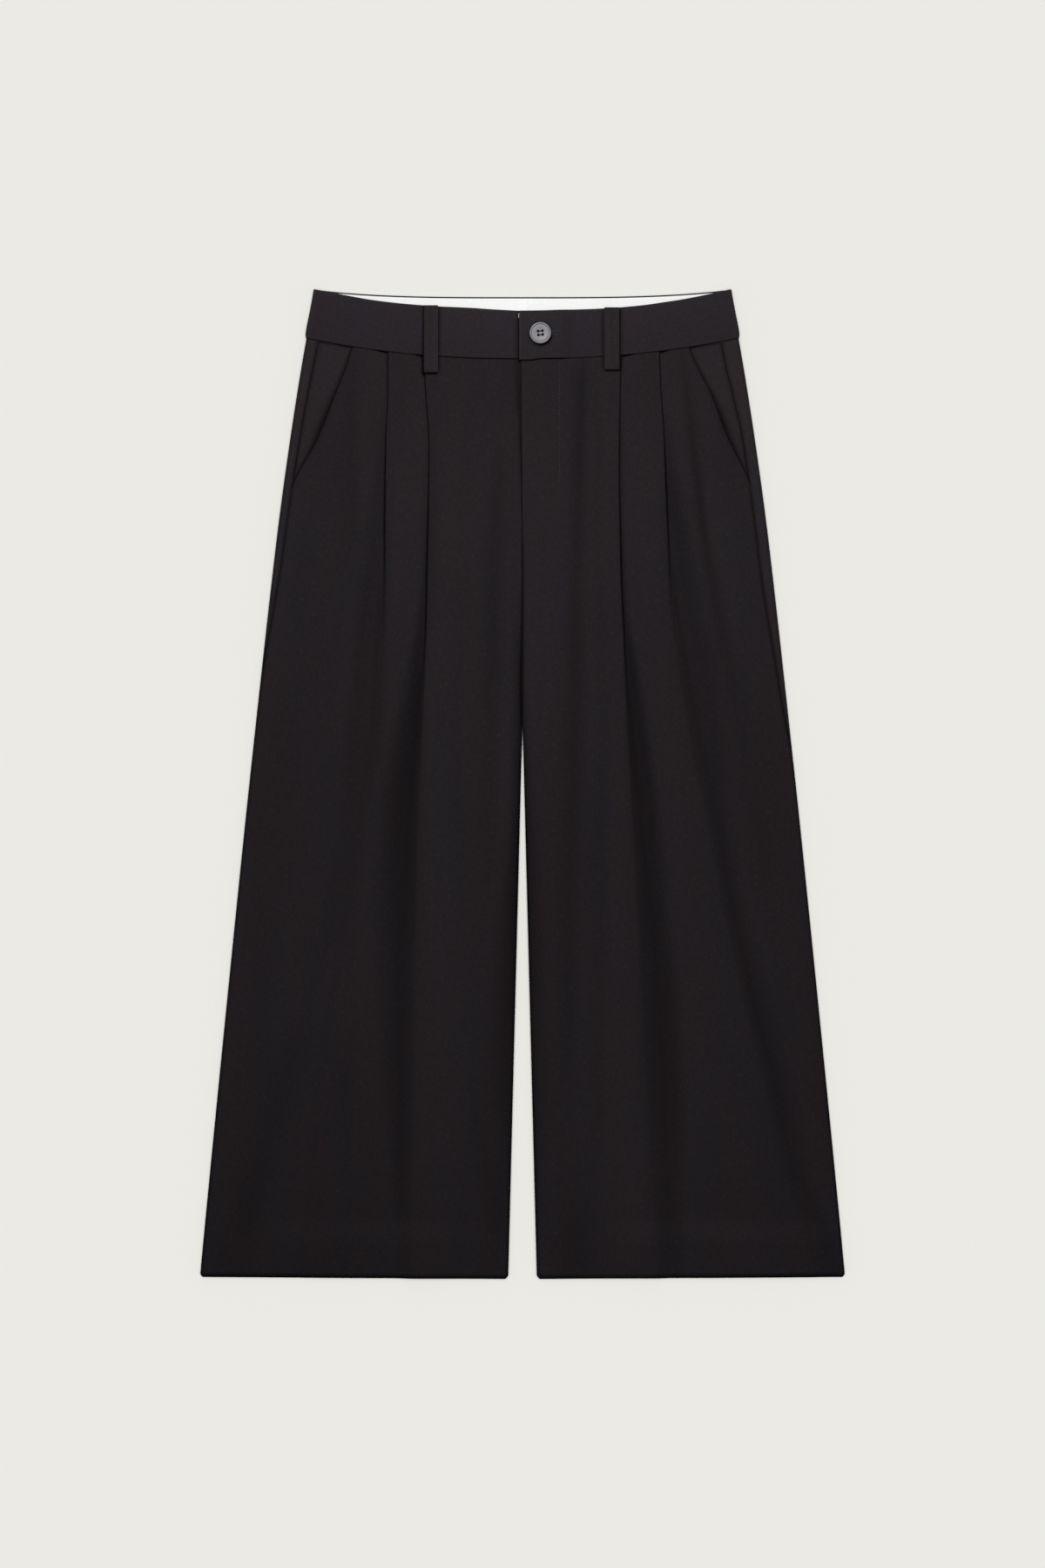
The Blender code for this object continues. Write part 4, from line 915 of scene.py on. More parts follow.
def panel(stretches, top_line, outside):
    """A leg panel's points, as rows from the waist seam to the hem and back up inside it.

    Each row is a part of the way from the waist seam to the hem. The last rows turn round the hem: they
    move inwards, at right angles to the cloth, by one layer, and go up again by the turned-up hem. outside
    is 1 on a front, whose outer face looks up, and -1 on a back, whose outer face looks down.
    """
    columns = sum(len(places) for _, places in stretches)
    hem_fold = CLOTH / 2 + TURN_RADIUS
    turned_up = (HEM_TURN_UP / 2 - hem_fold, HEM_TURN_UP - hem_fold)
    turning = math.pi * parts(HEM_TURN_FACES)
    on_leg = np.zeros(len(LEG_ROWS) + 1)
    down = np.concatenate([LEG_ROWS, np.ones(1 + len(turning) + len(turned_up))])
    inward = np.concatenate([on_leg, TURN_RADIUS * (1 - np.cos(turning)), np.full(len(turned_up), LAYER)])
    back_up = np.concatenate([on_leg, -TURN_RADIUS * np.sin(turning), turned_up])
    down, inward, back_up = down[:, None], inward[:, None], back_up[:, None]
    drop = np.full((len(down), columns), WAIST_TO_MIDDLE)
    for _ in range(PASSES):
        across, height = across_panel(stretches, drop)
        top = top_line(across) + SEAM_GAP / 2
        drop = top + down * (hem_line(across) - hem_fold - top) - back_up
    sideways, upward = square_to(across, height)
    return across - outside * inward * sideways, drop, height - outside * inward * upward


def square_to(across, height):
    """The direction at right angles to each row at each of its points.

    It is the mean of the two faces beside the point, lengthened to keep offset cloth at its distance from
    both.
    """
    run, climb = np.diff(across), np.diff(height)
    length = np.hypot(run, climb)
    side_x, side_z = -climb / length, run / length
    before = np.pad(side_x, ((0, 0), (1, 0)), "edge"), np.pad(side_z, ((0, 0), (1, 0)), "edge")
    after = np.pad(side_x, ((0, 0), (0, 1)), "edge"), np.pad(side_z, ((0, 0), (0, 1)), "edge")
    mean_x, mean_z = before[0] + after[0], before[1] + after[1]
    stretch = 2 / (mean_x**2 + mean_z**2)
    return mean_x * stretch, mean_z * stretch


# Relief of the lying cloth


def smooth_noise(across, down, seed):
    """Seeded noise from -1 to 1: random heights on a lattice of unit cells, joined by cubic B-splines."""
    across, down = np.broadcast_arrays(np.asarray(across, float), np.asarray(down, float))
    heights = np.random.default_rng(seed).uniform(-1, 1, (LATTICE, LATTICE))
    total = np.zeros(across.shape)
    column, row = np.floor(across).astype(int), np.floor(down).astype(int)
    weights = [spline_weights(place - cell) for place, cell in ((across, column), (down, row))]
    for i in range(4):
        for j in range(4):
            total += weights[0][i] * weights[1][j] * heights[(column + i) % LATTICE, (row + j) % LATTICE]
    return total * NOISE_GAIN


def spline_weights(part):
    """The cubic B-spline's four weights at a part of the way across a cell."""
    return (
        (1 - part) ** 3 / 6,
        (3 * part**3 - 6 * part**2 + 4) / 6,
        (-3 * part**3 + 3 * part**2 + 3 * part + 1) / 6,
        part**3 / 6,
    )


def lane(across, drop):
    """How far out a place lies on its leg, in lanes that widen with it, from 0 at the inner edge."""
    inner = inner_edge(drop)
    return DRAPE_LANES * (across - inner) / (along(HALF_WIDTH, "across", drop) - inner)


def drape(side, across, drop):
    """Long shallow waves down the leg, with shorter ones on them: the sum of DRAPE's rows of noise."""
    place = lane(across, drop) * DRAPE_LANE_WIDTH
    waves = 0
    for number, (wide, long, rise) in enumerate(DRAPE):
        seed = DRAPE_SEEDS[side] + number
        waves = waves + rise * smooth_noise(place / wide + DRAPE_START, drop / long, seed)
    return waves


def front_relief(side, across, drop, part, rise_to):
    """The waves, faded at the stretch's two ends. Over a pleat or the pocket they only lift the cloth."""
    waves = drape(side, across, drop)
    waves = waves * (DRAPE_AT_WAIST + (1 - DRAPE_AT_WAIST) * ease(drop, *DRAPE_GROWS))
    waves = waves * (1 - DRAPE_LOST_AT_HEM * ease(drop, *DRAPE_SINKS))
    over = ease(across, rise_to - DRAPE_OVER_FOLD, rise_to)
    waves = waves * (1 - over) + np.maximum(waves + DRAPE_LIFT, 0) * DRAPE_OVER_SHARE * over
    return waves * ease(part, *DRAPE_STARTS) * (1 - ease(part, *FRONT_DRAPE_ENDS))


def front_shade(side, across, drop):
    """Painted shade that the cloth's colour takes in its folds, from 0 to 1, and painted light below 0.

    Along a trough it is its share times exp(-(offset / width)^2). Beside a pleat it grows from just inside
    the fold's edge to its deepest place and fades to its end. The fold's edge, the pocket's mouth, the
    fittings, the waist and the outline's rims add their painted light and shade, and slow streaks add a
    little painted shade.
    """
    clear = np.ones_like(across)
    for fold in FOLD_SHADES[side]:
        offset = across - along(fold, "across", drop)
        width = np.where(offset < 0, along(fold, "inner", drop), along(fold, "outer", drop))
        clear *= 1 - along(fold, "share", drop) * np.exp(-((offset / width) ** 2))
    for pleat, shades in zip(PLEATS[side], PLEAT_SHADES[side]):
        numbers = pleat_numbers(pleat, drop)
        deep = along(shades, "deep", drop)
        out = across - numbers["edge"]
        start = -PLEAT_SHADE_IN - PLEAT_SHADE_IN_SHARE * deep
        near = ease(out, start, deep) * (1 - ease(out, deep, along(shades, "end", drop)))
        clear *= 1 - along(shades, "share", drop) * near
        edge = np.exp(-(((out - EDGE_LIGHT_OUT) / EDGE_LIGHT_WIDTH) ** 2))
        clear *= 1 + along(shades, "light", drop) * edge
    mouth = along(POCKET_MOUTH, "lift", drop) / POCKET_MOUTH_OPEN
    beside = (across - along(POCKET_EDGE[side], "across", drop)) / MOUTH_SHADE_REACH
    clear *= 1 - MOUTH_SHADE * mouth * np.exp(-(beside**2))
    clear *= fitting_light(side, across, drop) * (1 - along(LENGTH_SHADE, "share", drop))
    clear *= rim_light(across, drop)
    streaks = smooth_noise(lane(across, drop) / STREAKS[0], drop / STREAKS[1], DRAPE_SEEDS[side] + 9)
    return 1 - clear * (1 - STREAK_SHADE * (1 + streaks))


def rim_light(across, drop):
    """How much colour is left under the painted shade where the cloth turns over: at the inseam, the hem,
    and low on the side.

    Each edge takes its share times exp(-((distance - RIM_IN) / RIM_WIDTH)^2).
    """
    light = np.ones_like(across)
    for share, distance in (
        (INSEAM_SHADE * ease(drop, *CROTCH_TURNS), across - inner_edge(drop)),
        (HEM_SHADE, hem_line(across) - drop),
        (SIDE_SHADE * ease(drop, *SIDE_SHADE_GROWS), along(HALF_WIDTH, "across", drop) - across),
    ):
        light = light * (1 - share * np.exp(-(((distance - RIM_IN) / RIM_WIDTH) ** 2)))
    return light


def back_relief(side, across, drop, part):
    """Troughs in the underside, below the front's creases, with slight waves beside them.

    A trough is BACK_TROUGH_RISE * exp(-(offset / BACK_TROUGH_WIDTH)^2) down the leg.
    """
    waves = drape(side, across + BACK_WAVE_OUT, drop)
    rise = BACK_WAVE * (1 + np.clip(waves / BACK_WAVE_FULL, -1, 1))
    down_leg = ease(drop, *BACK_TROUGH_STARTS) * (1 - ease(drop, *BACK_TROUGH_ENDS))
    for pleat in PLEATS[side]:
        offset = (across - along(pleat, "across", drop) + BACK_TROUGH_INSIDE) / BACK_TROUGH_WIDTH
        rise = rise + BACK_TROUGH_RISE * np.exp(-(offset**2)) * down_leg
    return rise * ease(part, *DRAPE_STARTS) * (1 - ease(part, *BACK_DRAPE_ENDS))


# Walls of cloth


def unit(vectors):
    """Each vector divided by its length."""
    return vectors / np.maximum(np.linalg.norm(vectors, axis=-1, keepdims=True), 1e-9)


def directions(points, axis):
    """The grid's direction along one axis at each point, and how much longer an offset has to be there.

    The direction is the mean of the unit steps before and after the point. The shorter that mean is, the
    sharper the turn, and an offset of 1 / its length keeps the cloth's thickness round the turn.
    """
    step = unit(np.diff(points, axis=axis))
    before = np.concatenate([np.take(step, [0], axis), step], axis)
    after = np.concatenate([step, np.take(step, [-1], axis)], axis)
    mean = (before + after) / 2
    length = np.maximum(np.linalg.norm(mean, axis=-1, keepdims=True), LEAST_MEAN_STEP)
    return unit(mean), 1 / length


def grid_quads(rows, columns, first=0):
    """The faces of a grid of points whose numbers run along its rows."""
    corner = first + (np.arange(rows - 1)[:, None] * columns + np.arange(columns - 1)).ravel()
    return np.stack([corner, corner + 1, corner + columns + 1, corner + columns], axis=-1)


def boundary(rows, columns):
    """The numbers of a grid's outermost points, once round."""
    numbers = np.arange(rows * columns).reshape(rows, columns)
    return np.concatenate([numbers[0], numbers[1:, -1], numbers[-1, -2::-1], numbers[-2:0:-1, 0]])


def path_length(points, axis):
    """The length along one axis of a grid, from its first point to each."""
    before_it = [(0, 0), (0, 0)]
    before_it[axis] = (1, 0)
    return np.pad(np.cumsum(np.linalg.norm(np.diff(points, axis=axis), axis=-1), axis=axis), before_it)


def new_mesh(name, points, faces, uv=None, shade=None):
    """A smooth mesh object from points in millimetres, with a UV place and a painted shade for each point.
    """
    mesh = bpy.data.meshes.new(name)
    mesh.from_pydata((points * MM).tolist(), [], faces)
    if uv is not None:
        corners = np.empty(len(mesh.loops), int)
        mesh.loops.foreach_get("vertex_index", corners)
        mesh.uv_layers.new(name="cloth").data.foreach_set("uv", uv[corners].ravel() * MM)
    if shade is not None:
        mesh.attributes.new("fold_shade", "FLOAT", "POINT").data.foreach_set("value", shade)
    mesh.shade_smooth()
    made = bpy.data.objects.new(name, mesh)
    bpy.context.scene.collection.objects.link(made)
    return made


def cloth_wall(
    name, side, across, drop, height, shade=None, bulge=SEAM_BULGE, thickness=CLOTH, rim=RIM_SHADE
):
    """A closed wall of cloth on a grid of points at its middle.

    Its two faces lie half a thickness to either side of the middle, square to it. Between them the edge is
    half an ellipse: middle + half thickness * cos(a) * normal + bulge * sin(a) * outwards, for a from 0 to
    pi. The UV map is the cloth's own length across and down, from its inner top corner. shade is the painted
    shade put into the cloth's colour at each point, painted light where it is below 0, and the edge takes
    more painted shade by rim * sin(a).
    """
    x = across if side == "left" else -across
    middle = np.stack([x, WAIST_TO_MIDDLE - drop, height], axis=-1)
    over, more_over = directions(middle, 1)
    down, more_down = directions(middle, 0)
    normal = unit(np.cross(over, down))
    half = thickness / 2 * np.minimum(more_over * more_down, MOST_LENGTHENED) * normal
    outwards = np.zeros_like(middle)
    outwards[0] -= down[0]
    outwards[-1] += down[-1]
    outwards[:, 0] -= over[:, 0]
    outwards[:, -1] += over[:, -1]
    rows, columns = across.shape
    edge = boundary(rows, columns)
    flat = [values.reshape(-1, 3) for values in (middle, half, unit(outwards))]
    centre, reach, out = (values[edge] for values in flat)
    angles = math.pi * np.arange(1, EDGE_FACES) / EDGE_FACES
    rings = [centre + reach * math.cos(a) + out * bulge * math.sin(a) for a in angles]
    points = np.concatenate([flat[0] + flat[1], flat[0] - flat[1], *rings])
    size = rows * columns
    ring_numbers = [edge] + [2 * size + len(edge) * k + np.arange(len(edge)) for k in range(len(rings))]
    ring_numbers.append(edge + size)
    faces = [grid_quads(rows, columns), grid_quads(rows, columns, size)[:, ::-1]]
    for ring, after in zip(ring_numbers, ring_numbers[1:]):
        faces.append(np.stack([ring, after, np.roll(after, -1), np.roll(ring, -1)], axis=-1))
    uv = np.stack([path_length(middle, 1), path_length(middle, 0)], axis=-1).reshape(-1, 2)
    uv = np.concatenate([uv, uv] + [uv[edge]] * len(rings))
    shade = np.zeros(size) if shade is None else np.clip(shade, *SHADE_RANGE).ravel()
    edge_shades = [1 - (1 - shade[edge]) * (1 - rim * math.sin(a)) for a in angles]
    shade = np.concatenate([shade, shade, *edge_shades])
    made = new_mesh(name, points, np.concatenate(faces).tolist(), uv, shade)
    walls[name] = points, np.concatenate(faces[:2])
    return made


def dress(made, finish, slot, *nodes):
    """Gives a finished piece its material and its body, and hides the solids that it stands for. slot is not
    used.
    """
    made.data.materials.append(finish)
    on_right = np.mean([corner[0] for corner in made.bound_box]) < 0
    lit["right" if on_right else "left"].objects.link(made)
    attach(made, "root")
    if nodes:
        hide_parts(*nodes)
    return made


def pleat_stretches(pleat):
    """The three stretches of a pleat: its fold, its underlay and its valley."""
    return (
        (lambda part, drop: pleat_fold(pleat, part, drop), parts(TURN_FACES)),
        (lambda part, drop: pleat_underlay(pleat, part, drop), parts(UNDERLAY_FACES)),
        (lambda part, drop: pleat_valley(pleat, part, drop), parts(TURN_FACES)),
    )


def make_front(side):
    """A front: its inner strip, three spans with a pleat between each two, and its outer strip."""
    inner, outer = PLEATS[side]
    stretches = [
        (lambda part, drop: front_inner(side, part, drop), parts(INNER_FACES, True)),
        (lambda part, drop: span(side, 0, part, drop), parts(SPAN_FACES[0])),
        *pleat_stretches(inner),
        (lambda part, drop: span(side, 1, part, drop), parts(SPAN_FACES[1])),
        *pleat_stretches(outer),
        (lambda part, drop: span(side, 2, part, drop), parts(SPAN_FACES[2])),
        (lambda part, drop: front_outer(side, part, drop), parts(OUTER_FACES)),
    ]
    across, drop, height = panel(stretches, lambda across: front_seam(side, across), 1)
    # Painted shade and light in the folds, and painted shade along the side seam, under the waistband and
    # down the centre edge below the fly
    shade = front_shade(side, across, drop)
    shade = 1 - (1 - shade) * (1 - seam_shade(across[:, -1:] - across) * ease(drop, *SIDE_SHADES))
    shade[0] = waist_seam_shade(side, across[0])
    shade[:, 0] = np.maximum(shade[:, 0], EDGE_SHADE * (1 - fly_open(drop[:, 0])))
    made = cloth_wall(f"front_{side}_cloth", side, across, drop, height, shade)
    dress(made, suiting, "suiting", f"front_{side}")


def make_back(side):
    """A back: its inner strip, its flat underside, the side fold, and the strip that shows in front."""
    stretches = [
        (back_inner, parts(INNER_FACES, True)),
        (lambda part, drop: back_bottom(side, part, drop), parts(BACK_FACES)),
        (lambda part, drop: back_fold(side, part, drop), parts(FOLD_FACES)),
        (lambda part, drop: back_strip(side, part, drop), parts(STRIP_FACES)),
    ]
    across, drop, height = panel(stretches, lambda across: back_waist_line(side, across), -1)
    # Painted light on the strip that shows in front, most at the fold's rim and gone lower down; painted
    # shade at the strip's seam, at the rims and at the waist seam
    strip = np.arange(across.shape[1]) >= across.shape[1] - STRIP_FACES
    rim = along(HALF_WIDTH, "across", drop) - across
    light = STRIP_LIGHT + RIM_LIGHT * np.exp(-((rim / RIM_LIGHT_REACH) ** 2))
    light = light * (1 - ease(drop, *STRIP_LIGHTS))
    shade = np.where(strip, seam_shade(across - across[:, -1:]) - light, 0)
    shade = 1 - (1 - shade) * rim_light(across, drop)
    shade[0] = SEAM_SHADE
    made = cloth_wall(f"back_{side}_cloth", side, across, drop, height, shade, thickness=BACK_CLOTH)
    dress(made, suiting, "suiting", f"back_{side}")


def seam_shade(distance):
    """The painted shade in a seam's crease: EDGE_SHADE * exp(-(distance / EDGE_REACH)^2)."""
    return EDGE_SHADE * np.exp(-((distance / EDGE_REACH) ** 2))


def waist_seam_shade(side, across):
    """Painted shade in the crease under the waistband, deepest beside the fly on the right."""
    deeper = DEEP_SEAM_SHADE * (1 - ease(across, *DEEP_SEAM)) if side == "right" else 0
    return SEAM_SHADE + deeper


def fitting_light(side, across, drop):
    """How much colour is left under the painted shadows beside a belt loop, below its foot, and round the
    button.

    Each takes its share times exp(-(distance / reach)^2).
    """
    inner, foot = LOOP_INNER_EDGE[side], LOOP_FOOT_DROP[side]
    outside = np.maximum(inner - across, across - inner - LOOP_WIDTH[side])
    beside = np.exp(-((np.maximum(outside, 0) / LOOP_SHADE_REACH) ** 2))
    beside = beside * (1 - ease(drop - foot, *LOOP_SHADE_ENDS))
    below = np.exp(-(((drop - foot) / LOOP_FOOT_REACH) ** 2)) * (1 - ease(outside, *LOOP_FOOT_SIDES))
    share = np.where(across < inner + LOOP_WIDTH[side] / 2, *LOOP_SHADES)
    light = 1 - share * np.maximum(beside, below)
    if side == "left":
        x, y = BUTTON_PLACE
        ring = np.hypot(across - x, drop - y - BUTTON_SHADE_DOWN) - BUTTON_RADIUS
        light = light * (1 - BUTTON_SHADE * np.exp(-((ring / BUTTON_SHADE_REACH) ** 2)))
    return light


def back_waist_line(side, across):
    """The back's waist seam underneath. At the side fold it meets the front's seam."""
    return np.where(across > WAIST_HALF - BACK_SEAM_END, front_seam(side, across), back_seam(across))


def make_pocket_facing(side):
    """The cloth seen in the pocket's mouth: from under the front's slanted edge to the side seam."""
    part = np.broadcast_to(parts(POCKET_COLUMNS, True), (POCKET_ROWS + 1, POCKET_COLUMNS + 1))
    down = parts(POCKET_ROWS, True)[:, None]
    drop = np.full(part.shape, POCKET_FOOT)
    for _ in range(PASSES):
        slant = along(POCKET_EDGE[side], "across", drop)
        seam = seam_path(side, drop)
        outer, _ = side_fold(seam - SEAM_GAP, along(HALF_WIDTH, "across", drop))
        inner = slant - POCKET_UNDERLAP
        across = inner + part * np.maximum(outer - inner, CLOTH)
        top = front_seam(side, across) + SEAM_GAP / 2
        drop = top + down * (POCKET_FOOT - top)
    to_seam = ease(across, slant + RISE_MARGIN, outer - CLOTH) * (1 - ease(drop, *POCKET_SINKS))
    height = FRONT_HEIGHT - LAYER + LAYER * to_seam
    # Painted shade under the front's slanted edge, wider where the mouth stands open, and along the side
    # seam and the waist seam
    shut, opened = POCKET_SHADE_REACH
    reach = shut + (opened - shut) * along(POCKET_MOUTH, "lift", drop) / POCKET_MOUTH_OPEN
    inside = np.exp(-(((across - slant) / reach) ** 2))
    shade = np.maximum(POCKET_SHADE * inside, seam_shade(outer - across))
    shade[0] = SEAM_SHADE
    made = cloth_wall(f"pocket_facing_{side}_cloth", side, across, drop, height, shade)
    dress(made, suiting, "suiting", f"pocket_facing_{side}")


def front_top(side, across):
    """The waistband's top edge in front. The right side's lap stays a little below the left's edge."""
    own = along(FRONT_TOP[side], "drop", np.abs(across), key="across")
    if side == "left":
        return own
    over_it = along(FRONT_TOP["left"], "drop", np.abs(across), key="across")
    return np.where(across < 0, over_it + LAP_BELOW * ease(-across, *LAP_BELOW_GROWS), own)


def back_top(across):
    """The waistband's top edge behind, which dips less."""
    return BACK_DIP * (1 - np.minimum(np.abs(across) / WAIST_HALF, 1) ** BACK_DIP_POWER)


def band_light(side, across, drop, from_top, from_fold):
    """How much colour the waistband's front keeps: painted light on its top edge, its fold and the lap's
    edge, painted shade beside the lap and the fittings, and darker towards its seam.
    """
    light = fitting_light(side, across, drop)
    light = light * (1 + BAND_TOP_LIGHT * np.exp(-((from_top / BAND_TOP_REACH) ** 2)))
    light = light * (1 + BAND_RIM_LIGHT[side] * np.exp(-((from_fold / RIM_LIGHT_REACH) ** 2)))
    light = light * (1 - BAND_SHADE * from_top / BAND_WIDTH)
    if side == "left":
        return light * (1 + LAP_EDGE_LIGHT * np.exp(-(((across - BAND_EDGE) / LAP_EDGE_REACH) ** 2)))
    beside = 1 - ease(across, -BAND_EDGE, LAP_SHADE_REACH - BAND_EDGE)
    grown = LAP_SHADE_AT_TOP + (1 - LAP_SHADE_AT_TOP) * ease(from_top, *LAP_SHADE_GROWS)
    return light * (1 - LAP_SHADE * beside * grown)


def make_band(node, side, start, inward, edge_below, finish, slot):
    """A strip round half the waist, from the centre front round the side fold to the centre back.

    start is where it begins across the centre front, and inward is how far its middle lies inside the
    waistband's own, which is 0 for the waistband and a layer for its facing. On the left it climbs near
    its end, over the lap of the right side. edge_below is how far its top edge lies below the waist's.
    """
    lap = start + (BAND_RAMP[0] - start) * parts(BAND_END_FACES, True)
    front = np.concatenate([lap, np.linspace(*BAND_RAMP, BAND_RAMP_FACES + 1)[1:]])
    rest = parts(BAND_FACES)
    radius = FOLD_RADIUS - inward
    down = BAND_ROWS[:, None]
    columns = len(front) + 2 * len(rest) + FOLD_FACES
    drop = np.full((len(down), columns), BAND_WIDTH / 2)
    for _ in range(PASSES):
        outline = along(BAND_HALF_WIDTH, "across", drop)
        bend = outline - FOLD_REACH
        path = np.concatenate(
            [
                np.broadcast_to(front, (len(drop), len(front))) - bend[:, : len(front)],
                (BAND_RAMP[1] - bend[:, len(front) : len(front) + len(rest)]) * (1 - rest),
                np.broadcast_to(math.pi * radius * parts(FOLD_FACES), (len(drop), FOLD_FACES)),
                math.pi * radius + (bend[:, -len(rest) :] - SEAM_GAP / 2) * rest,
            ],
            axis=1,
        )
        across, height = side_fold(path, outline, radius)
        under = path > math.pi * radius / 2
        top = np.where(under, back_top(across), front_top(side, across)) + edge_below
        seam = np.where(under, back_seam(across), front_seam(side, across)) - SEAM_GAP / 2
        seam = seam - FACING_ABOVE_SEAM * (inward > 0)
        drop = top + down * (seam - top)
    on_top = path < 0
    if side == "left":
        height = height + 2 * LAYER * (1 - ease(across, *BAND_RAMP)) * on_top
    shade = np.zeros_like(across)
    if not inward:
        ripple = smooth_noise(across / BAND_RIPPLE_LENGTH, drop / BAND_WIDTH, BAND_SEEDS[side])
        ripple = BAND_RIPPLE * ripple * np.sin(math.pi * down)
        crown = BAND_CROWN * np.sin(math.pi * down) ** 0.5
        height = height + (ripple + crown) * ease(-path, 0, BAND_RIPPLE_LENGTH) * on_top
        # Painted light and shade on the waistband's front, and painted shade in its seam's crease
        shade = np.where(under, 0, 1 - band_light(side, across, drop, drop - top, outline - across))
        shade[-1] = waist_seam_shade(side, across[-1])
    made = cloth_wall(f"{node}_cloth", side, across, drop, height, shade, rim=0 if inward else RIM_SHADE)
    dress(made, finish, slot, node)


def make_facing_corner():
    """The left facing's corner, a white sliver beside the end of the waistband's lap."""
    across = np.linspace(*FACING_CORNER_ACROSS, FACING_CORNER_COLUMNS)
    drop = np.linspace(*FACING_CORNER_DROP, FACING_CORNER_ROWS)[:, None]
    places = np.broadcast_arrays(across, drop, FRONT_HEIGHT + LAYER)
    made = cloth_wall("facing_corner", "left", *places, rim=0)
    dress(made, lining, "facing")


def make_belt_loop(side):
    """A strip that stands off the waistband, with both its ends turned under.

    Its outer layer is crowned by LOOP_CROWN * (1 - x^2), where x runs from -1 to 1 across it.
    """
    inner = LOOP_INNER_EDGE[side]
    top = front_top(side, inner + LOOP_WIDTH[side] / 2) - LOOP_PROUD
    lower = FRONT_HEIGHT + LAYER
    turn = math.pi * parts(LOOP_TURN_FACES)
    reach = CLOTH / 2 + TURN_RADIUS
    foot = LOOP_FOOT_DROP[side] - reach
    head = top + reach
    drop = np.concatenate(
        [
            [foot - LOOP_TURN_UNDER, foot],
            foot + TURN_RADIUS * np.sin(turn),
            foot + (head - foot) * parts(LOOP_FACES),
            head - TURN_RADIUS * np.sin(turn),
            [head + LOOP_TURN_UNDER],
        ]
    )
    height = np.concatenate(
        [
            [lower, lower],
            lower + TURN_RADIUS * (1 - np.cos(turn)),
            np.full(LOOP_FACES, lower + LAYER),
            lower + TURN_RADIUS * (1 + np.cos(turn)),
            [lower],
        ]
    )
    place = parts(LOOP_COLUMNS, True)
    outer_layer = ease(height, lower + TURN_RADIUS, lower + LAYER)
    crown = LOOP_CROWN * (1 - (2 * place - 1) ** 2) * outer_layer[:, None]
    across = inner + FREE_BULGE + (LOOP_WIDTH[side] - 2 * FREE_BULGE) * place
    shape = (len(drop), len(place))
    made = cloth_wall(
        f"belt_loop_{side}_cloth",
        side,
        np.broadcast_to(across, shape),
        np.broadcast_to(drop[:, None], shape),
        height[:, None] + crown,
        bulge=FREE_BULGE,
        rim=0,
    )
    dress(made, suiting, "suiting", f"belt_loop_{side}")


# Sewing


def tubes(name, paths, radii, reference=(0, 0, 1), sides=THREAD_SIDES):
    """Closed round tubes carried along paths, all in one mesh.

    paths holds a row of points for each tube, and radii a radius for each point of a row. The ring at a
    point is point + radius * (cos(a) * sideways + sin(a) * upwards), where sideways is square to the path
    and to reference, and upwards is square to both.
    """
    ahead, _ = directions(paths, 1)
    sideways = unit(np.cross(ahead, np.broadcast_to(np.array(reference, float), ahead.shape)))
    upwards = np.cross(sideways, ahead)
    angle = 2 * math.pi * np.arange(sides) / sides
    ring = np.cos(angle)[:, None] * sideways[:, :, None] + np.sin(angle)[:, None] * upwards[:, :, None]
    points = paths[:, :, None] + np.asarray(radii)[..., None, None] * ring
    count, length = paths.shape[:2]
    start = (np.arange(count)[:, None] * length + np.arange(length - 1)).ravel()[:, None] * sides
    number = np.arange(sides)
    beside = np.roll(number, -1)
    after = start + sides
    quads = np.stack([start + number, after + number, after + beside, start + beside], axis=-1)
    first = np.arange(count)[:, None] * length * sides + number
    last = first + (length - 1) * sides
    faces = quads.reshape(-1, 4).tolist() + first.tolist() + last[:, ::-1].tolist()
    return new_mesh(name, points.reshape(-1, 3), faces)


def evenly(line, pitch):
    """Places on a line of points at an even distance from each other, and the line's direction at each."""
    length = np.pad(np.cumsum(np.linalg.norm(np.diff(line, axis=0), axis=-1)), (1, 0))
    count = max(int(length[-1] / pitch), 1)
    at = (np.arange(count) + 0.5) * length[-1] / count
    places = np.stack([np.interp(at, length, line[:, k]) for k in range(2)], axis=-1)
    ahead = np.stack([np.interp(at + pitch / 4, length, line[:, k]) for k in range(2)], axis=-1)
    return places, unit(ahead - places)


def surface_heights(places, below=False):
    """Height of the cloth over places, seen from straight above, or of its underside from below."""
    heights = []
    for x, y in places:
        start = Vector((x, y, -PROBE_FROM if below else PROBE_FROM))
        hit = surface.ray_cast(start, Vector((0, 0, 1.0 if below else -1.0)))[0]
        heights.append(hit.z if hit else np.nan)
    return np.array(heights)


def stitch_taper(t):
    """A stitch's radius as a share of its middle's: the square root of 1 - STITCH_TAPER * t^2."""
    return np.sqrt(1 - STITCH_TAPER * t**2)


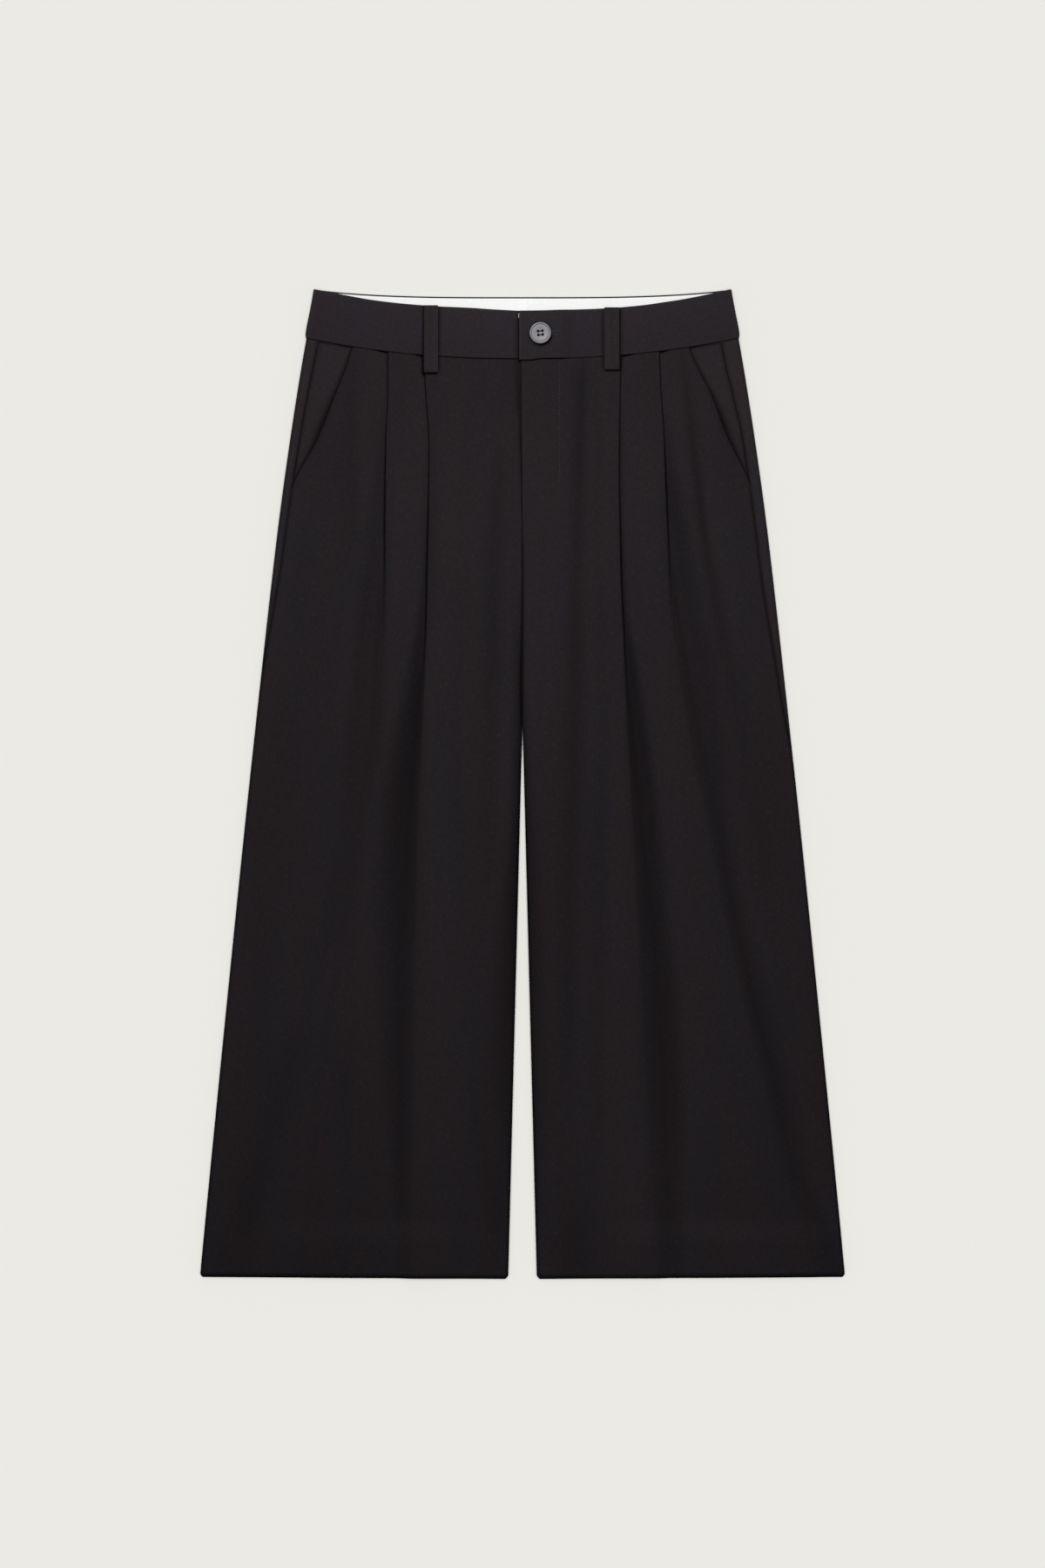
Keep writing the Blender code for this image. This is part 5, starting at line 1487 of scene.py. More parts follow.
def sew(name, line, pitch=TOPSTITCH_PITCH, length=TOPSTITCH_LENGTH, finish=None, below=False):
    """A row of stitches along a line of (x, y) points, lying on the cloth.

    Each stitch is an arch: its height over the cloth is STITCH_RISE * (1 - t^2) - STITCH_SINK, and its
    radius narrows as stitch_taper does, for t from -1 to 1 along it. No two are quite as thick.
    """
    places, ahead = evenly(np.asarray(line, float), pitch)
    t = np.linspace(-1, 1, STITCH_POINTS)
    flat = places[:, None] + ahead[:, None] * (t * length / 2)[:, None]
    ends = [surface_heights(flat[:, k], below) for k in (0, STITCH_POINTS // 2, -1)]
    kept = ~np.isnan(sum(ends))
    base = np.stack([end[kept] for end in ends], axis=-1)
    between = np.stack([np.interp(t, (-1, 0, 1), row) for row in base])
    height = between + (STITCH_RISE * (1 - t**2) - STITCH_SINK) * (STITCH_BELOW if below else 1)
    paths = np.concatenate([flat[kept], height[..., None]], axis=-1)
    thick = 1 - STITCH_UNEVEN * np.random.default_rng(len(paths)).random((len(paths), 1))
    made = tubes(name, paths, THREAD_RADIUS * thick * stitch_taper(t))
    return dress(made, finish or topstitch, "suiting")


def line_on(side, across, drop):
    """(x, y) points from places on the cloth."""
    x = across if side == "left" else -across
    return np.stack(np.broadcast_arrays(x, WAIST_TO_MIDDLE - drop), axis=-1)


def sew_waist(side):
    """The waistband's edge stitching, along its top edge and above its seam."""
    stop = WAIST_HALF - WAIST_STITCH_END
    start = BAND_EDGE + EDGE_STITCH_IN if side == "left" else -BAND_EDGE
    across = np.linspace(start, stop, LINE_POINTS)
    for name, drop in (
        ("top", front_top(side, across) + EDGE_STITCH_IN),
        ("seam", front_seam(side, across) - EDGE_STITCH_IN),
    ):
        sew(f"waistband_{name}_stitching_{side}", line_on(side, across, drop), finish=hidden_stitch)


def sew_hem(side):
    """The hem's stitching, a turn-up's width above its edge."""
    across = np.linspace(
        inner_edge(HEM_DROP_INNER) + HEM_STITCH_END,
        along(HALF_WIDTH, "across", HEM_DROP_OUTER) - HEM_STITCH_END,
        LINE_POINTS,
    )
    drop = hem_line(across) - HEM_TURN_UP + HEM_STITCH_IN
    line = line_on(side, across, drop)
    sew(f"hem_stitching_{side}", line, HEM_PITCH, finish=hidden_stitch)
    sew(f"hem_stitching_{side}_back", line, HEM_PITCH, finish=hidden_stitch, below=True)


def sew_belt_loop(side):
    """The two rows of stitches down a belt loop."""
    below_top, above_foot = LOOP_STITCH_ENDS
    top = front_top(side, LOOP_INNER_EDGE[side]) + below_top
    drop = np.array([top, LOOP_FOOT_DROP[side] - above_foot])
    for number, part in enumerate(LOOP_STITCH_PLACES):
        across = np.full(2, LOOP_INNER_EDGE[side] + part * LOOP_WIDTH[side])
        name = f"belt_loop_stitching_{side}_{'inner' if number == 0 else 'outer'}"
        sew(name, line_on(side, across, drop), LOOP_STITCH_PITCH, LOOP_STITCH_LENGTH)


def sew_fly():
    """The fly's topstitching down to its curve, which turns in to the bar tack at the fly's foot."""
    drop = np.linspace(FLY_STITCH_TOP, FLY_CURVE_TOP, LINE_POINTS)
    sew("fly_topstitching", line_on("left", np.full(LINE_POINTS, FLY_STITCH_ACROSS), drop))
    curve = line_on("left", FLY_CURVE["across"], FLY_CURVE["drop"])
    sew("fly_topstitching_curve", curve, finish=hidden_stitch)


def make_bar_tack():
    """A short bar of close stitches across the fly's foot, each an arch of STITCH_RISE * (1 - t^4)."""
    x = np.linspace(*BAR_TACK_ACROSS, BAR_TACK_STITCHES)
    y = WAIST_TO_MIDDLE - BAR_TACK_DROP
    t = np.linspace(-1, 1, STITCH_POINTS)
    base = surface_heights([((BAR_TACK_ACROSS[0] + BAR_TACK_ACROSS[1]) / 2, y)])[0]
    paths = np.stack(
        np.broadcast_arrays(
            x[:, None] + BAR_TACK_SLANT * t,
            y + BAR_TACK_WIDTH / 2 * t,
            base + STITCH_RISE * (1 - t**4),
        ),
        axis=-1,
    )
    made = tubes("fly_bar_tack", paths, THREAD_RADIUS * stitch_taper(t))
    dress(made, hole_thread, "suiting")


def buttonhole_outline():
    """Points clockwise round the buttonhole: an eyelet, two straight sides and half a circle."""
    start, stop = BUTTONHOLE_SPAN
    in_eye, in_side, in_end = BUTTONHOLE_POINTS
    eye, half = BUTTONHOLE_EYE, BUTTONHOLE_HALF
    neck = math.asin(half / eye)
    round_eye = np.linspace(math.pi - neck, neck - math.pi, in_eye)
    eye_centre = stop - eye
    points = np.stack([eye_centre + eye * np.cos(round_eye), eye * np.sin(round_eye)], axis=-1)
    side_x = np.linspace(eye_centre - eye * math.cos(neck), start + half, in_side)
    lower = np.stack([side_x, np.full(in_side, -half)], axis=-1)
    end = np.linspace(-math.pi / 2, -1.5 * math.pi, in_end)
    round_end = np.stack([start + half + half * np.cos(end), half * np.sin(end)], axis=-1)
    upper = lower[::-1] * (1, -1)
    return np.concatenate([points, lower[1:], round_end[1:], upper[1:-1]])


def make_buttonhole():
    """Close stitches round the buttonhole, each from its inner outline to its outer one.

    Each rises as BUTTONHOLE_RISE * sin(a), for a from BUTTONHOLE_FOOT of half a turn to half a turn.
    """
    y = WAIST_TO_MIDDLE - BUTTON_PLACE[1]
    inner, ahead = evenly(buttonhole_outline() + (0, y), BUTTONHOLE_PITCH)
    outer = inner + BUTTONHOLE_STITCH * np.stack([-ahead[:, 1], ahead[:, 0]], axis=-1)
    t = np.linspace(0, 1, STITCH_POINTS)[:, None]
    flat = inner[:, None] * (1 - t) + outer[:, None] * t
    base = FRONT_HEIGHT + 2 * LAYER + CLOTH / 2 + BAND_CROWN
    angle = math.pi * (BUTTONHOLE_FOOT + (1 - BUTTONHOLE_FOOT) * t[:, 0])
    height = base + BUTTONHOLE_RISE * np.sin(angle) - STITCH_SINK
    paths = np.concatenate([flat, np.broadcast_to(height[:, None], (*flat.shape[:2], 1))], axis=-1)
    made = tubes("buttonhole_stitches", paths, np.full(STITCH_POINTS, BUTTONHOLE_THREAD))
    dress(made, hole_thread, "suiting")


# Button


def revolved(name, profile, steps):
    """A profile of (radius, height) turned about the upright axis, with its two ends closed by a face."""
    angle = 2 * math.pi * np.arange(steps) / steps
    radius, height = profile.T
    x = radius[:, None] * np.cos(angle)
    y = radius[:, None] * np.sin(angle)
    points = np.stack(np.broadcast_arrays(x, y, height[:, None]), axis=-1)
    ring = np.arange(len(profile) - 1)[:, None] * steps
    row = (ring + np.arange(steps)).ravel()
    beside = (ring + np.roll(np.arange(steps), -1)).ravel()
    quads = np.stack([row, row + steps, beside + steps, beside], axis=-1)
    first = list(range(steps))
    last = [len(profile) * steps - steps + k for k in range(steps)]
    return new_mesh(name, points.reshape(-1, 3), quads.tolist() + [first, last[::-1]])


def make_button():
    """A turned disc with a raised rim, a groove inside it, a dished middle and four holes."""
    top = BUTTON_THICKNESS
    dish = top - BUTTON_DISH
    rim = BUTTON_RADIUS - BUTTON_RIM
    profile = np.array(
        (
            (0.4, dish - 0.12), (2.0, dish - 0.1), (3.6, dish - 0.02), (5.0, dish + 0.06),
            (rim - 1.0, dish + 0.16), (rim - 0.4, dish + 0.12), (rim - 0.22, dish - 0.12),
            (rim - 0.05, dish - 0.24), (rim + 0.1, dish - 0.12), (rim + 0.2, dish + 0.16),
            (rim + 0.34, top - 0.14), (rim + 0.55, top - 0.02), (rim + 0.8, top), (rim + 1.1, top - 0.1),
            (BUTTON_RADIUS - 0.16, top - 0.32), (BUTTON_RADIUS - 0.03, top - 0.7),
            (BUTTON_RADIUS, top - 1.05), (BUTTON_RADIUS - 0.12, top - 1.4), (BUTTON_RADIUS - 0.6, 0.5),
            (BUTTON_RADIUS - 1.3, 0.12), (BUTTON_RADIUS - 2.4, 0.0), (0.4, 0.0),
        )
    )
    disc = revolved("button_disc", profile, BUTTON_STEPS)
    drill(disc)
    thread = button_sewing(dish)
    for made in (disc, thread):
        place_on_lap(made)
    dress(disc, horn, "button", "button")
    dress(thread, button_thread, "suiting")


def drill(disc):
    """The button's four holes, cut through the disc by bars."""
    bar = np.array(((BUTTON_HOLE_RADIUS, 2 * BUTTON_THICKNESS), (BUTTON_HOLE_RADIUS, -BUTTON_THICKNESS)))
    cutters = []
    spacing_x, spacing_y = BUTTON_HOLE_SPACING
    for x in (-spacing_x / 2, spacing_x / 2):
        for y in (-spacing_y / 2, spacing_y / 2):
            cutter = revolved("hole_cutter", bar, HOLE_STEPS)
            cutter.location = (x * MM, y * MM, 0)
            hole = disc.modifiers.new("hole", "BOOLEAN")
            hole.operation = "DIFFERENCE"
            hole.object = cutter
            cutters.append(cutter)
    cut = bpy.data.meshes.new_from_object(disc.evaluated_get(bpy.context.evaluated_depsgraph_get()))
    disc.modifiers.clear()
    disc.data = cut
    for cutter in cutters:
        bpy.data.objects.remove(cutter)
    disc.data.shade_smooth()
    disc.data.set_sharp_from_angle(angle=math.radians(BUTTON_SHARP))
    disc.data.name = "button_disc"


def button_sewing(dish):
    """Strands of thread from each left hole over to the right one, closer together inside the holes."""
    spacing_x, spacing_y = BUTTON_HOLE_SPACING
    half = spacing_x / 2
    rise = ((half, -1.6), (half + 0.05, -0.3), (half - 0.1, 0.16), (half - 0.55, 0.36))
    x, z = np.array((*((-x, z) for x, z in rise), (0, 0.42), *rise[::-1])).T
    apart = STRANDS_IN_HOLE + (1 - STRANDS_IN_HOLE) * (z > 0)
    paths = []
    for row in (-spacing_y / 2, spacing_y / 2):
        for strand in BUTTON_STRANDS:
            paths.append(np.stack([x, row + strand * apart, z + dish - STRAND_SINK], axis=-1))
    radii = np.full(len(x), STRAND_RADIUS)
    return tubes("button_sewing", np.array(paths), radii, reference=(0, 1, 0), sides=STRAND_SIDES)


def place_on_lap(made):
    """Turns a mesh made about the origin, and moves it to the button's place over the lap."""
    turn = math.radians(BUTTON_TILT)
    cos, sin = math.cos(turn), math.sin(turn)
    x, drop = BUTTON_PLACE
    lap_top = FRONT_HEIGHT + 2 * LAYER + CLOTH / 2 + BUTTON_STANDS
    points = np.empty(len(made.data.vertices) * 3)
    made.data.vertices.foreach_get("co", points)
    points = points.reshape(-1, 3)
    points[:, :2] = points[:, :2] @ np.array(((cos, sin), (-sin, cos)))
    points += np.array((x, WAIST_TO_MIDDLE - drop, lap_top)) * MM
    made.data.vertices.foreach_set("co", points.ravel())
    made.data.update()


# Materials


SOCKET_KINDS = {1: "NodeSocketFloat", 3: "NodeSocketVector", 4: "NodeSocketColor"}
WHITE = (1.0, 1.0, 1.0, 1.0)


def shader(name, roughness, specular, **settings):
    """A new material with a Principled shader, and its nodes and links."""
    made = bpy.data.materials.new(name)
    made.use_nodes = True
    nodes, links = made.node_tree.nodes, made.node_tree.links
    principled = nodes["Principled BSDF"]
    principled.inputs["Roughness"].default_value = roughness
    principled.inputs["Specular IOR Level"].default_value = specular
    for socket, value in settings.items():
        principled.inputs[socket.replace("_", " ").title()].default_value = value
    return made, nodes, links, principled


def new_group(name, inputs, outputs):
    """An empty node group. The count of numbers in a socket's first value tells its kind."""
    group = bpy.data.node_groups.new(name, "ShaderNodeTree")
    for way, sockets in (("INPUT", inputs), ("OUTPUT", outputs)):
        for socket, value in sockets.items():
            kind = SOCKET_KINDS[np.size(value)]
            group.interface.new_socket(socket, in_out=way, socket_type=kind).default_value = value
    return group, group.nodes.new("NodeGroupInput"), group.nodes.new("NodeGroupOutput")


def use_group(nodes, links, group, **values):
    """A material's own use of a node group, with its sockets linked or set."""
    node = nodes.new("ShaderNodeGroup")
    node.node_tree = group
    for socket, value in values.items():
        connect(links, node.inputs[socket], value)
    return node


def connect(links, socket, value):
    """Links a socket to another, or sets it to a number."""
    if isinstance(value, bpy.types.NodeSocket):
        links.new(value, socket)
    else:
        socket.default_value = value


def calculate(group, operation, *values):
    """One sum of a node group, worked out from sockets or numbers."""
    node = group.nodes.new("ShaderNodeMath")
    node.operation = operation
    for socket, value in zip(node.inputs, values):
        connect(group.links, socket, value)
    return node.outputs[0]


def noise(group, vector, scale, detail=2.0, stretch=(1.0, 1.0, 1.0)):
    """Noise of about scale cells a metre, from 0 to 1, stretched along the axes."""
    turned = group.nodes.new("ShaderNodeMapping")
    turned.inputs["Scale"].default_value = stretch
    group.links.new(vector, turned.inputs["Vector"])
    node = group.nodes.new("ShaderNodeTexNoise")
    group.links.new(turned.outputs[0], node.inputs["Vector"])
    connect(group.links, node.inputs["Scale"], scale)
    node.inputs["Detail"].default_value = detail
    return node.outputs["Fac"]


def step(group, value, start, stop):
    """A smooth step from 0 at start to 1 at stop."""
    node = group.nodes.new("ShaderNodeMapRange")
    node.interpolation_type = "SMOOTHSTEP"
    connect(group.links, node.inputs["Value"], value)
    node.inputs["From Min"].default_value = start
    node.inputs["From Max"].default_value = stop
    return node.outputs[0]


def woven_cloth():
    """Twill on the cloth's own lengths: Height, Fleck for its mixed yarns and Tone for its slow changes.

    Rib is the distance between its slanting ribs and Yarn the one between its threads, both in metres. The
    height is 0.3 sin(2 pi (u + v) / Rib) + 0.15 sin(2 pi u / Yarn) + Uneven * (slubs + weft), where u and
    v are the lengths across and down with a slight wobble, and slubs and weft are noises drawn out along
    the yarns.
    """
    group, given, put = new_group(
        "woven_cloth",
        {"Vector": (0.0, 0.0, 0.0), "Rib": 0.0011, "Yarn": 0.0005, "Uneven": 0.5},
        {"Height": 0.0, "Fleck": 0.0, "Tone": 0.0},
    )
    links = group.links
    place = given.outputs["Vector"]
    apart = group.nodes.new("ShaderNodeSeparateXYZ")
    links.new(place, apart.inputs[0])
    wobble = calculate(group, "MULTIPLY", noise(group, place, 220.0, 1.0), 0.0006)
    u = calculate(group, "ADD", apart.outputs[0], wobble)
    v = calculate(group, "ADD", apart.outputs[1], wobble)
    turns = 2 * math.pi
    rib = calculate(group, "DIVIDE", calculate(group, "ADD", u, v), given.outputs["Rib"])
    rib = calculate(group, "SINE", calculate(group, "MULTIPLY", rib, turns))
    yarn = calculate(group, "DIVIDE", u, given.outputs["Yarn"])
    yarn = calculate(group, "SINE", calculate(group, "MULTIPLY", yarn, turns))
    slubs = noise(group, place, 900.0, 2.0, (1.0, 0.22, 1.0))
    weft = noise(group, place, 900.0, 2.0, (0.22, 1.0, 1.0))
    uneven = calculate(group, "MULTIPLY", calculate(group, "ADD", slubs, weft), given.outputs["Uneven"])
    height = calculate(group, "MULTIPLY_ADD", rib, 0.3, uneven)
    height = calculate(group, "MULTIPLY_ADD", yarn, 0.15, height)
    links.new(height, put.inputs["Height"])
    light_yarn = step(group, slubs, 0.4, 0.75)
    light_weft = step(group, weft, 0.4, 0.75)
    patch = noise(group, place, 300.0, 2.0)
    fleck = calculate(group, "MULTIPLY", light_weft, 0.35)
    fleck = calculate(group, "MULTIPLY_ADD", light_yarn, 0.6, fleck)
    fleck = calculate(group, "MULTIPLY", fleck, step(group, patch, 0.3, 0.65))
    links.new(calculate(group, "MULTIPLY_ADD", rib, 0.1, fleck), put.inputs["Fleck"])
    slow = noise(group, place, 34.0, 2.0, (1.0, 0.12, 1.0))
    cloudy = noise(group, place, 110.0, 2.0, (1.0, 0.3, 1.0))
    tone = calculate(group, "MULTIPLY_ADD", slow, 0.65, calculate(group, "MULTIPLY", cloudy, 0.35))
    links.new(step(group, tone, 0.38, 0.62), put.inputs["Tone"])
    return group


def cloth_colour():
    """The cloth's Color: its yarns' colour by Fleck, times its slow change by Tone, times 1 - Shade, the
    painted shade and light.
    """
    group, given, put = new_group(
        "cloth_colour",
        dict.fromkeys(("Fleck", "Tone", "Shade"), 0.0)
        | dict.fromkeys(("Yarn", "Light Yarn", "Warm", "Cool"), WHITE),
        {"Color": WHITE},
    )
    nodes, links, sockets = group.nodes, group.links, given.outputs
    tone = blend(nodes, links, sockets["Tone"], sockets["Warm"], sockets["Cool"])
    yarns = blend(nodes, links, sockets["Fleck"], sockets["Yarn"], sockets["Light Yarn"])
    colour = blend(nodes, links, 1.0, yarns, tone, "MULTIPLY")
    shaded = nodes.new("ShaderNodeVectorMath")
    shaded.operation = "SCALE"
    links.new(colour, shaded.inputs[0])
    links.new(calculate(group, "SUBTRACT", 1.0, sockets["Shade"]), shaded.inputs["Scale"])
    links.new(shaded.outputs[0], put.inputs["Color"])
    return group


def thread_twist():
    """Twist: fine noise of Scale cells a metre, for the plies of a thread."""
    group, given, put = new_group(
        "thread_twist", {"Vector": (0.0, 0.0, 0.0), "Scale": 1600.0}, {"Twist": 0.0}
    )
    node = group.nodes.new("ShaderNodeTexNoise")
    group.links.new(given.outputs["Vector"], node.inputs["Vector"])
    group.links.new(given.outputs["Scale"], node.inputs["Scale"])
    group.links.new(node.outputs["Fac"], put.inputs["Twist"])
    return group


def blend(nodes, links, factor, one, other, way="MIX"):
    """A colour between two, by a factor from 0 to 1."""
    node = nodes.new("ShaderNodeMix")
    node.data_type = "RGBA"
    node.blend_type = way
    connect(links, node.inputs["Factor"], factor)
    connect(links, node.inputs[6], one)
    connect(links, node.inputs[7], other)
    return node.outputs[2]


def bump(nodes, links, principled, height, distance, strength):
    """Relief of distance metres from a height of 0 to 1."""
    node = nodes.new("ShaderNodeBump")
    node.inputs["Distance"].default_value = distance
    node.inputs["Strength"].default_value = strength
    links.new(height, node.inputs["Height"])
    links.new(node.outputs[0], principled.inputs["Normal"])


CLOTH_GLOSS = 0.1
YARN_TO_RIB = 0.45


def cloth_finish(name, yarn, light_yarn, warm, cool, rib, relief, roughness, sheen):
    """Woven cloth: its colour goes from yarn to light_yarn by Fleck, and from warm to cool by Tone.

    The piece's fold_shade is painted shade, and painted light where it is below 0: colour, gloss and sheen
    are each multiplied by 1 - fold_shade.
    """
    made, nodes, links, principled = shader(name, roughness, CLOTH_GLOSS, sheen_roughness=0.5)
    place = nodes.new("ShaderNodeUVMap")
    place.uv_map = "cloth"
    weave = use_group(nodes, links, twill, Vector=place.outputs[0], Rib=rib, Yarn=rib * YARN_TO_RIB)
    fold = nodes.new("ShaderNodeAttribute")
    fold.attribute_name = "fold_shade"
    colours = {"Yarn": yarn, "Light Yarn": light_yarn, "Warm": warm, "Cool": cool}
    colour = use_group(
        nodes,
        links,
        dyed,
        Fleck=weave.outputs["Fleck"],
        Tone=weave.outputs["Tone"],
        Shade=fold.outputs["Fac"],
        **{socket: (*value, 1) for socket, value in colours.items()},
    )
    links.new(colour.outputs["Color"], principled.inputs["Base Color"])
    clear = nodes.new("ShaderNodeMath")
    clear.operation = "SUBTRACT"
    clear.inputs[0].default_value = 1.0
    links.new(fold.outputs["Fac"], clear.inputs[1])
    for socket, full in (("Specular IOR Level", CLOTH_GLOSS), ("Sheen Weight", sheen)):
        less = nodes.new("ShaderNodeMath")
        less.operation = "MULTIPLY"
        less.inputs[1].default_value = full
        links.new(clear.outputs[0], less.inputs[0])
        links.new(less.outputs[0], principled.inputs[socket])
    bump(nodes, links, principled, weave.outputs["Height"], relief, 0.6)
    return made


def thread_finish(name, dark, light):
    """Twisted sewing thread of two tones."""
    made, nodes, links, principled = shader(name, 0.7, 0.3)
    place = nodes.new("ShaderNodeTexCoord")
    twist = use_group(nodes, links, plies, Vector=place.outputs["Object"]).outputs["Twist"]
    links.new(blend(nodes, links, twist, (*dark, 1), (*light, 1)), principled.inputs["Base Color"])
    bump(nodes, links, principled, twist, 0.0001, 0.5)
    return made


BUTTON_DARK = (0.15, 0.145, 0.165)
BUTTON_LIGHT = (0.2, 0.19, 0.215)


def horn_finish():
    """Moulded resin with a faint cloud in it, finely scuffed."""
    made, nodes, links, principled = shader("button_resin", 0.36, 0.45)
    place = nodes.new("ShaderNodeTexCoord")
    cloud = nodes.new("ShaderNodeTexNoise")
    cloud.inputs["Scale"].default_value = 260.0
    cloud.inputs["Detail"].default_value = 3.0
    scuff = nodes.new("ShaderNodeTexNoise")
    scuff.inputs["Scale"].default_value = 2400.0
    for node in (cloud, scuff):
        links.new(place.outputs["Object"], node.inputs["Vector"])
    colour = blend(nodes, links, cloud.outputs["Fac"], (*BUTTON_DARK, 1), (*BUTTON_LIGHT, 1))
    links.new(colour, principled.inputs["Base Color"])
    rough = nodes.new("ShaderNodeMapRange")
    rough.inputs["To Min"].default_value = 0.3
    rough.inputs["To Max"].default_value = 0.44
    links.new(scuff.outputs["Fac"], rough.inputs["Value"])
    links.new(rough.outputs[0], principled.inputs["Roughness"])
    bump(nodes, links, principled, scuff.outputs["Fac"], 0.00004, 0.3)
    return made


FLOOR_COLOUR = (0.831, 0.823, 0.784)
FLOOR_CLOUD = 0.995
FLOOR_HALF = 4.0


def floor_finish():
    """Matt pale paper with the faintest cloud in it."""
    made, nodes, links, principled = shader("floor_paper", 1.0, 0.0)
    place = nodes.new("ShaderNodeTexCoord")
    node = nodes.new("ShaderNodeTexNoise")
    node.inputs["Scale"].default_value = 3.0
    links.new(place.outputs["Object"], node.inputs["Vector"])
    other = tuple(part * FLOOR_CLOUD for part in FLOOR_COLOUR)
    colour = blend(nodes, links, node.outputs["Fac"], (*FLOOR_COLOUR, 1), (*other, 1))
    links.new(colour, principled.inputs["Base Color"])
    return made


# Floor, light and camera


def make_floor():
    """A plain square that the garment lies on."""
    places = FLOOR_HALF * np.array(((-1, -1, 0), (1, -1, 0), (1, 1, 0), (-1, 1, 0)), float)
    mesh = bpy.data.meshes.new("floor")
    mesh.from_pydata(places.tolist(), [], [(0, 1, 2, 3)])
    floor = bpy.data.objects.new("floor", mesh)
    bpy.context.scene.collection.objects.link(floor)
    floor_only.objects.link(floor)
    floor.data.materials.append(floor_finish())


def aimed(thing, place, at):
    """Puts a light at a place, pointing at another."""
    thing.location = place
    thing.rotation_euler = (Vector(at) - Vector(place)).to_track_quat("-Z", "Y").to_euler()
    bpy.context.scene.collection.objects.link(thing)


SURROUND = 0.2
FLOOR_LIGHT_SPREAD = 50.0
LIGHT_PLACE = (0.38, 1.05, 1.3)
LIGHT_AIM = (-0.12, 0.1, 0.0)
LIGHT_SIZE = (0.7, 0.7)
LIGHT_POWER = 29.6


def make_light():
    """A dim even surround, an even light on the floor, and two crossed soft lights past the waist.

    Each crossed light falls on the leg of the other side alone, so both legs' folds are lit from the centre.
    """
    world = bpy.data.worlds.new("studio")
    world.use_nodes = True
    world.node_tree.nodes["Background"].inputs["Color"].default_value = (1, 1, 1, 1)
    world.node_tree.nodes["Background"].inputs["Strength"].default_value = SURROUND
    bpy.context.scene.world = world
    lamp = bpy.data.lights.new("floor_light", "SUN")
    lamp.energy = math.pi * (1 - SURROUND)
    lamp.angle = math.radians(FLOOR_LIGHT_SPREAD)
    held = bpy.data.objects.new("floor_light", lamp)
    aimed(held, (0, 0, 3), (0, 0, 0))
    held.light_linking.receiver_collection = floor_only
    for side in SIDES:
        lamp = bpy.data.lights.new(f"light_on_{side}", "AREA")
        lamp.shape = "RECTANGLE"
        lamp.size, lamp.size_y = LIGHT_SIZE
        lamp.energy = LIGHT_POWER
        held = bpy.data.objects.new(lamp.name, lamp)
        way = 1 if side == "right" else -1
        aimed(held, (way * LIGHT_PLACE[0], *LIGHT_PLACE[1:]), (way * LIGHT_AIM[0], *LIGHT_AIM[1:]))
        held.light_linking.receiver_collection = lit[side]


CAMERA_HEIGHT = 3.0
CAMERA_DOWN = 0.00007
FRAME_LENGTH = 1.296
SENSOR = 36.0


def make_camera():
    """A camera straight above, whose longer side sees FRAME_LENGTH metres at the front's height."""
    lens = bpy.data.cameras.new("camera")
    lens.sensor_width = SENSOR
    lens.lens = SENSOR * (CAMERA_HEIGHT - FRONT_HEIGHT * MM) / FRAME_LENGTH
    camera = bpy.data.objects.new("camera", lens)
    camera.location = (0, CAMERA_DOWN, CAMERA_HEIGHT)
    bpy.context.scene.collection.objects.link(camera)
    bpy.context.scene.camera = camera


# The whole garment

lit = {side: bpy.data.collections.new(f"lit_{side}") for side in SIDES}
floor_only = bpy.data.collections.new("floor_only")
walls = {}
twill = woven_cloth()
dyed = cloth_colour()
plies = thread_twist()
suiting = cloth_finish(
    "suiting_cloth",
    yarn=(0.0153, 0.0120, 0.0143),
    light_yarn=(0.0230, 0.0185, 0.0218),
    warm=(1.05, 0.985, 0.92),
    cool=(0.955, 1.0, 1.09),
    rib=0.0012,
    relief=0.00016,
    roughness=0.92,
    sheen=0.02,
)
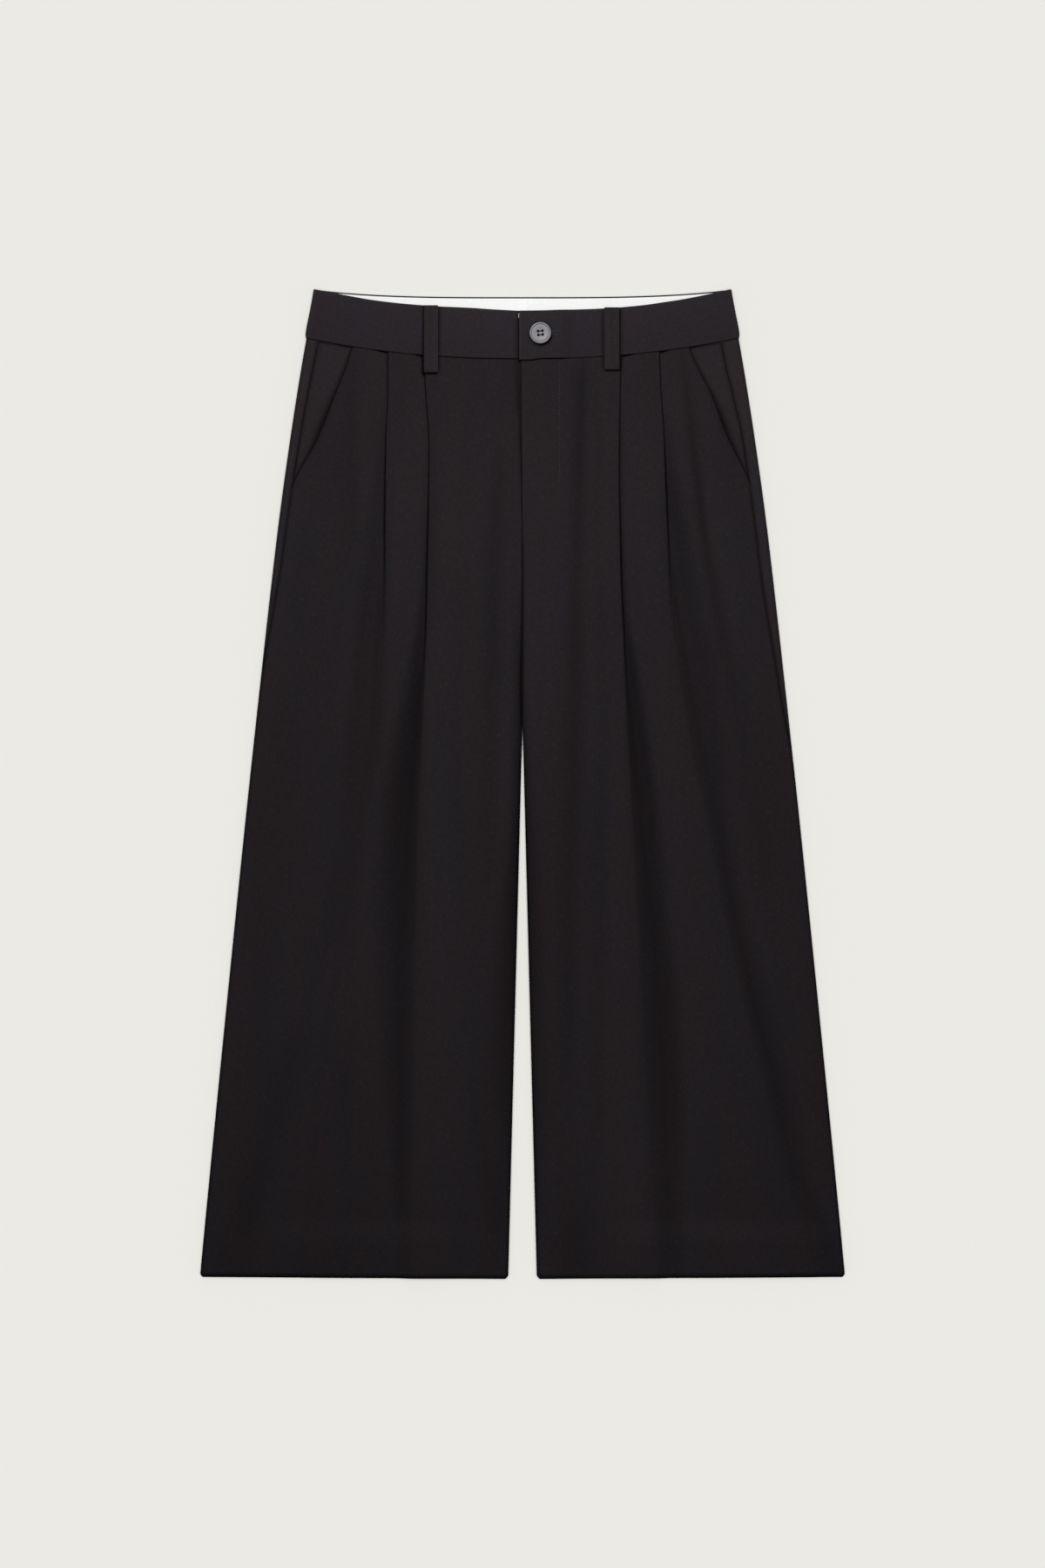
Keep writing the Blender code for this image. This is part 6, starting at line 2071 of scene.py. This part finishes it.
# The waistband's cloth: pressed smoother, with its yarn colours painted lighter for the brighter light near
# the waist
pressed_painted_lighter = cloth_finish(
    "pressed_suiting_painted_lighter",
    yarn=(0.0166, 0.0128, 0.0156),
    light_yarn=(0.0250, 0.0197, 0.0238),
    warm=(1.03, 0.995, 0.96),
    cool=(0.98, 0.99, 1.05),
    rib=0.0012,
    relief=0.00012,
    roughness=0.9,
    sheen=0.03,
)
lining = cloth_finish(
    "white_facing_cloth",
    yarn=(0.76, 0.76, 0.755),
    light_yarn=(0.82, 0.82, 0.815),
    warm=(1.0, 0.995, 0.985),
    cool=(0.985, 0.99, 1.0),
    rib=0.0009,
    relief=0.00012,
    roughness=0.85,
    sheen=0.0,
)
topstitch = thread_finish("topstitching_thread", (0.028, 0.024, 0.027), (0.056, 0.049, 0.056))
hidden_stitch = thread_finish("tonal_thread", (0.013, 0.011, 0.013), (0.03, 0.027, 0.03))
button_thread = thread_finish("button_thread", (0.006, 0.0055, 0.0065), (0.014, 0.013, 0.015))
hole_thread = thread_finish("buttonhole_thread", (0.012, 0.012, 0.0125), (0.036, 0.036, 0.037))
horn = horn_finish()

for side in SIDES:
    lap = BAND_EDGE if side == "left" else -BAND_LAP
    make_front(side)
    make_back(side)
    make_pocket_facing(side)
    make_band(f"waistband_{side}", side, lap, 0.0, 0.0, pressed_painted_lighter, "suiting")
    make_band(f"waistband_facing_{side}", side, lap + FACING_SHORT, LAYER, FACING_BELOW, lining, "facing")
    make_belt_loop(side)
make_facing_corner()

# The walls' faces together, for the sewing to lie on
points, faces, first = [], [], 0
for wall_points, wall_faces in walls.values():
    points.append(wall_points)
    faces.append(wall_faces + first)
    first += len(wall_points)
surface = BVHTree.FromPolygons(np.concatenate(points).tolist(), np.concatenate(faces).tolist())

for side in SIDES:
    sew_waist(side)
    sew_hem(side)
    sew_belt_loop(side)
sew_fly()
make_bar_tack()
make_buttonhole()
make_button()

make_floor()
make_light()
make_camera()
bpy.context.scene.view_settings.view_transform = "Standard"
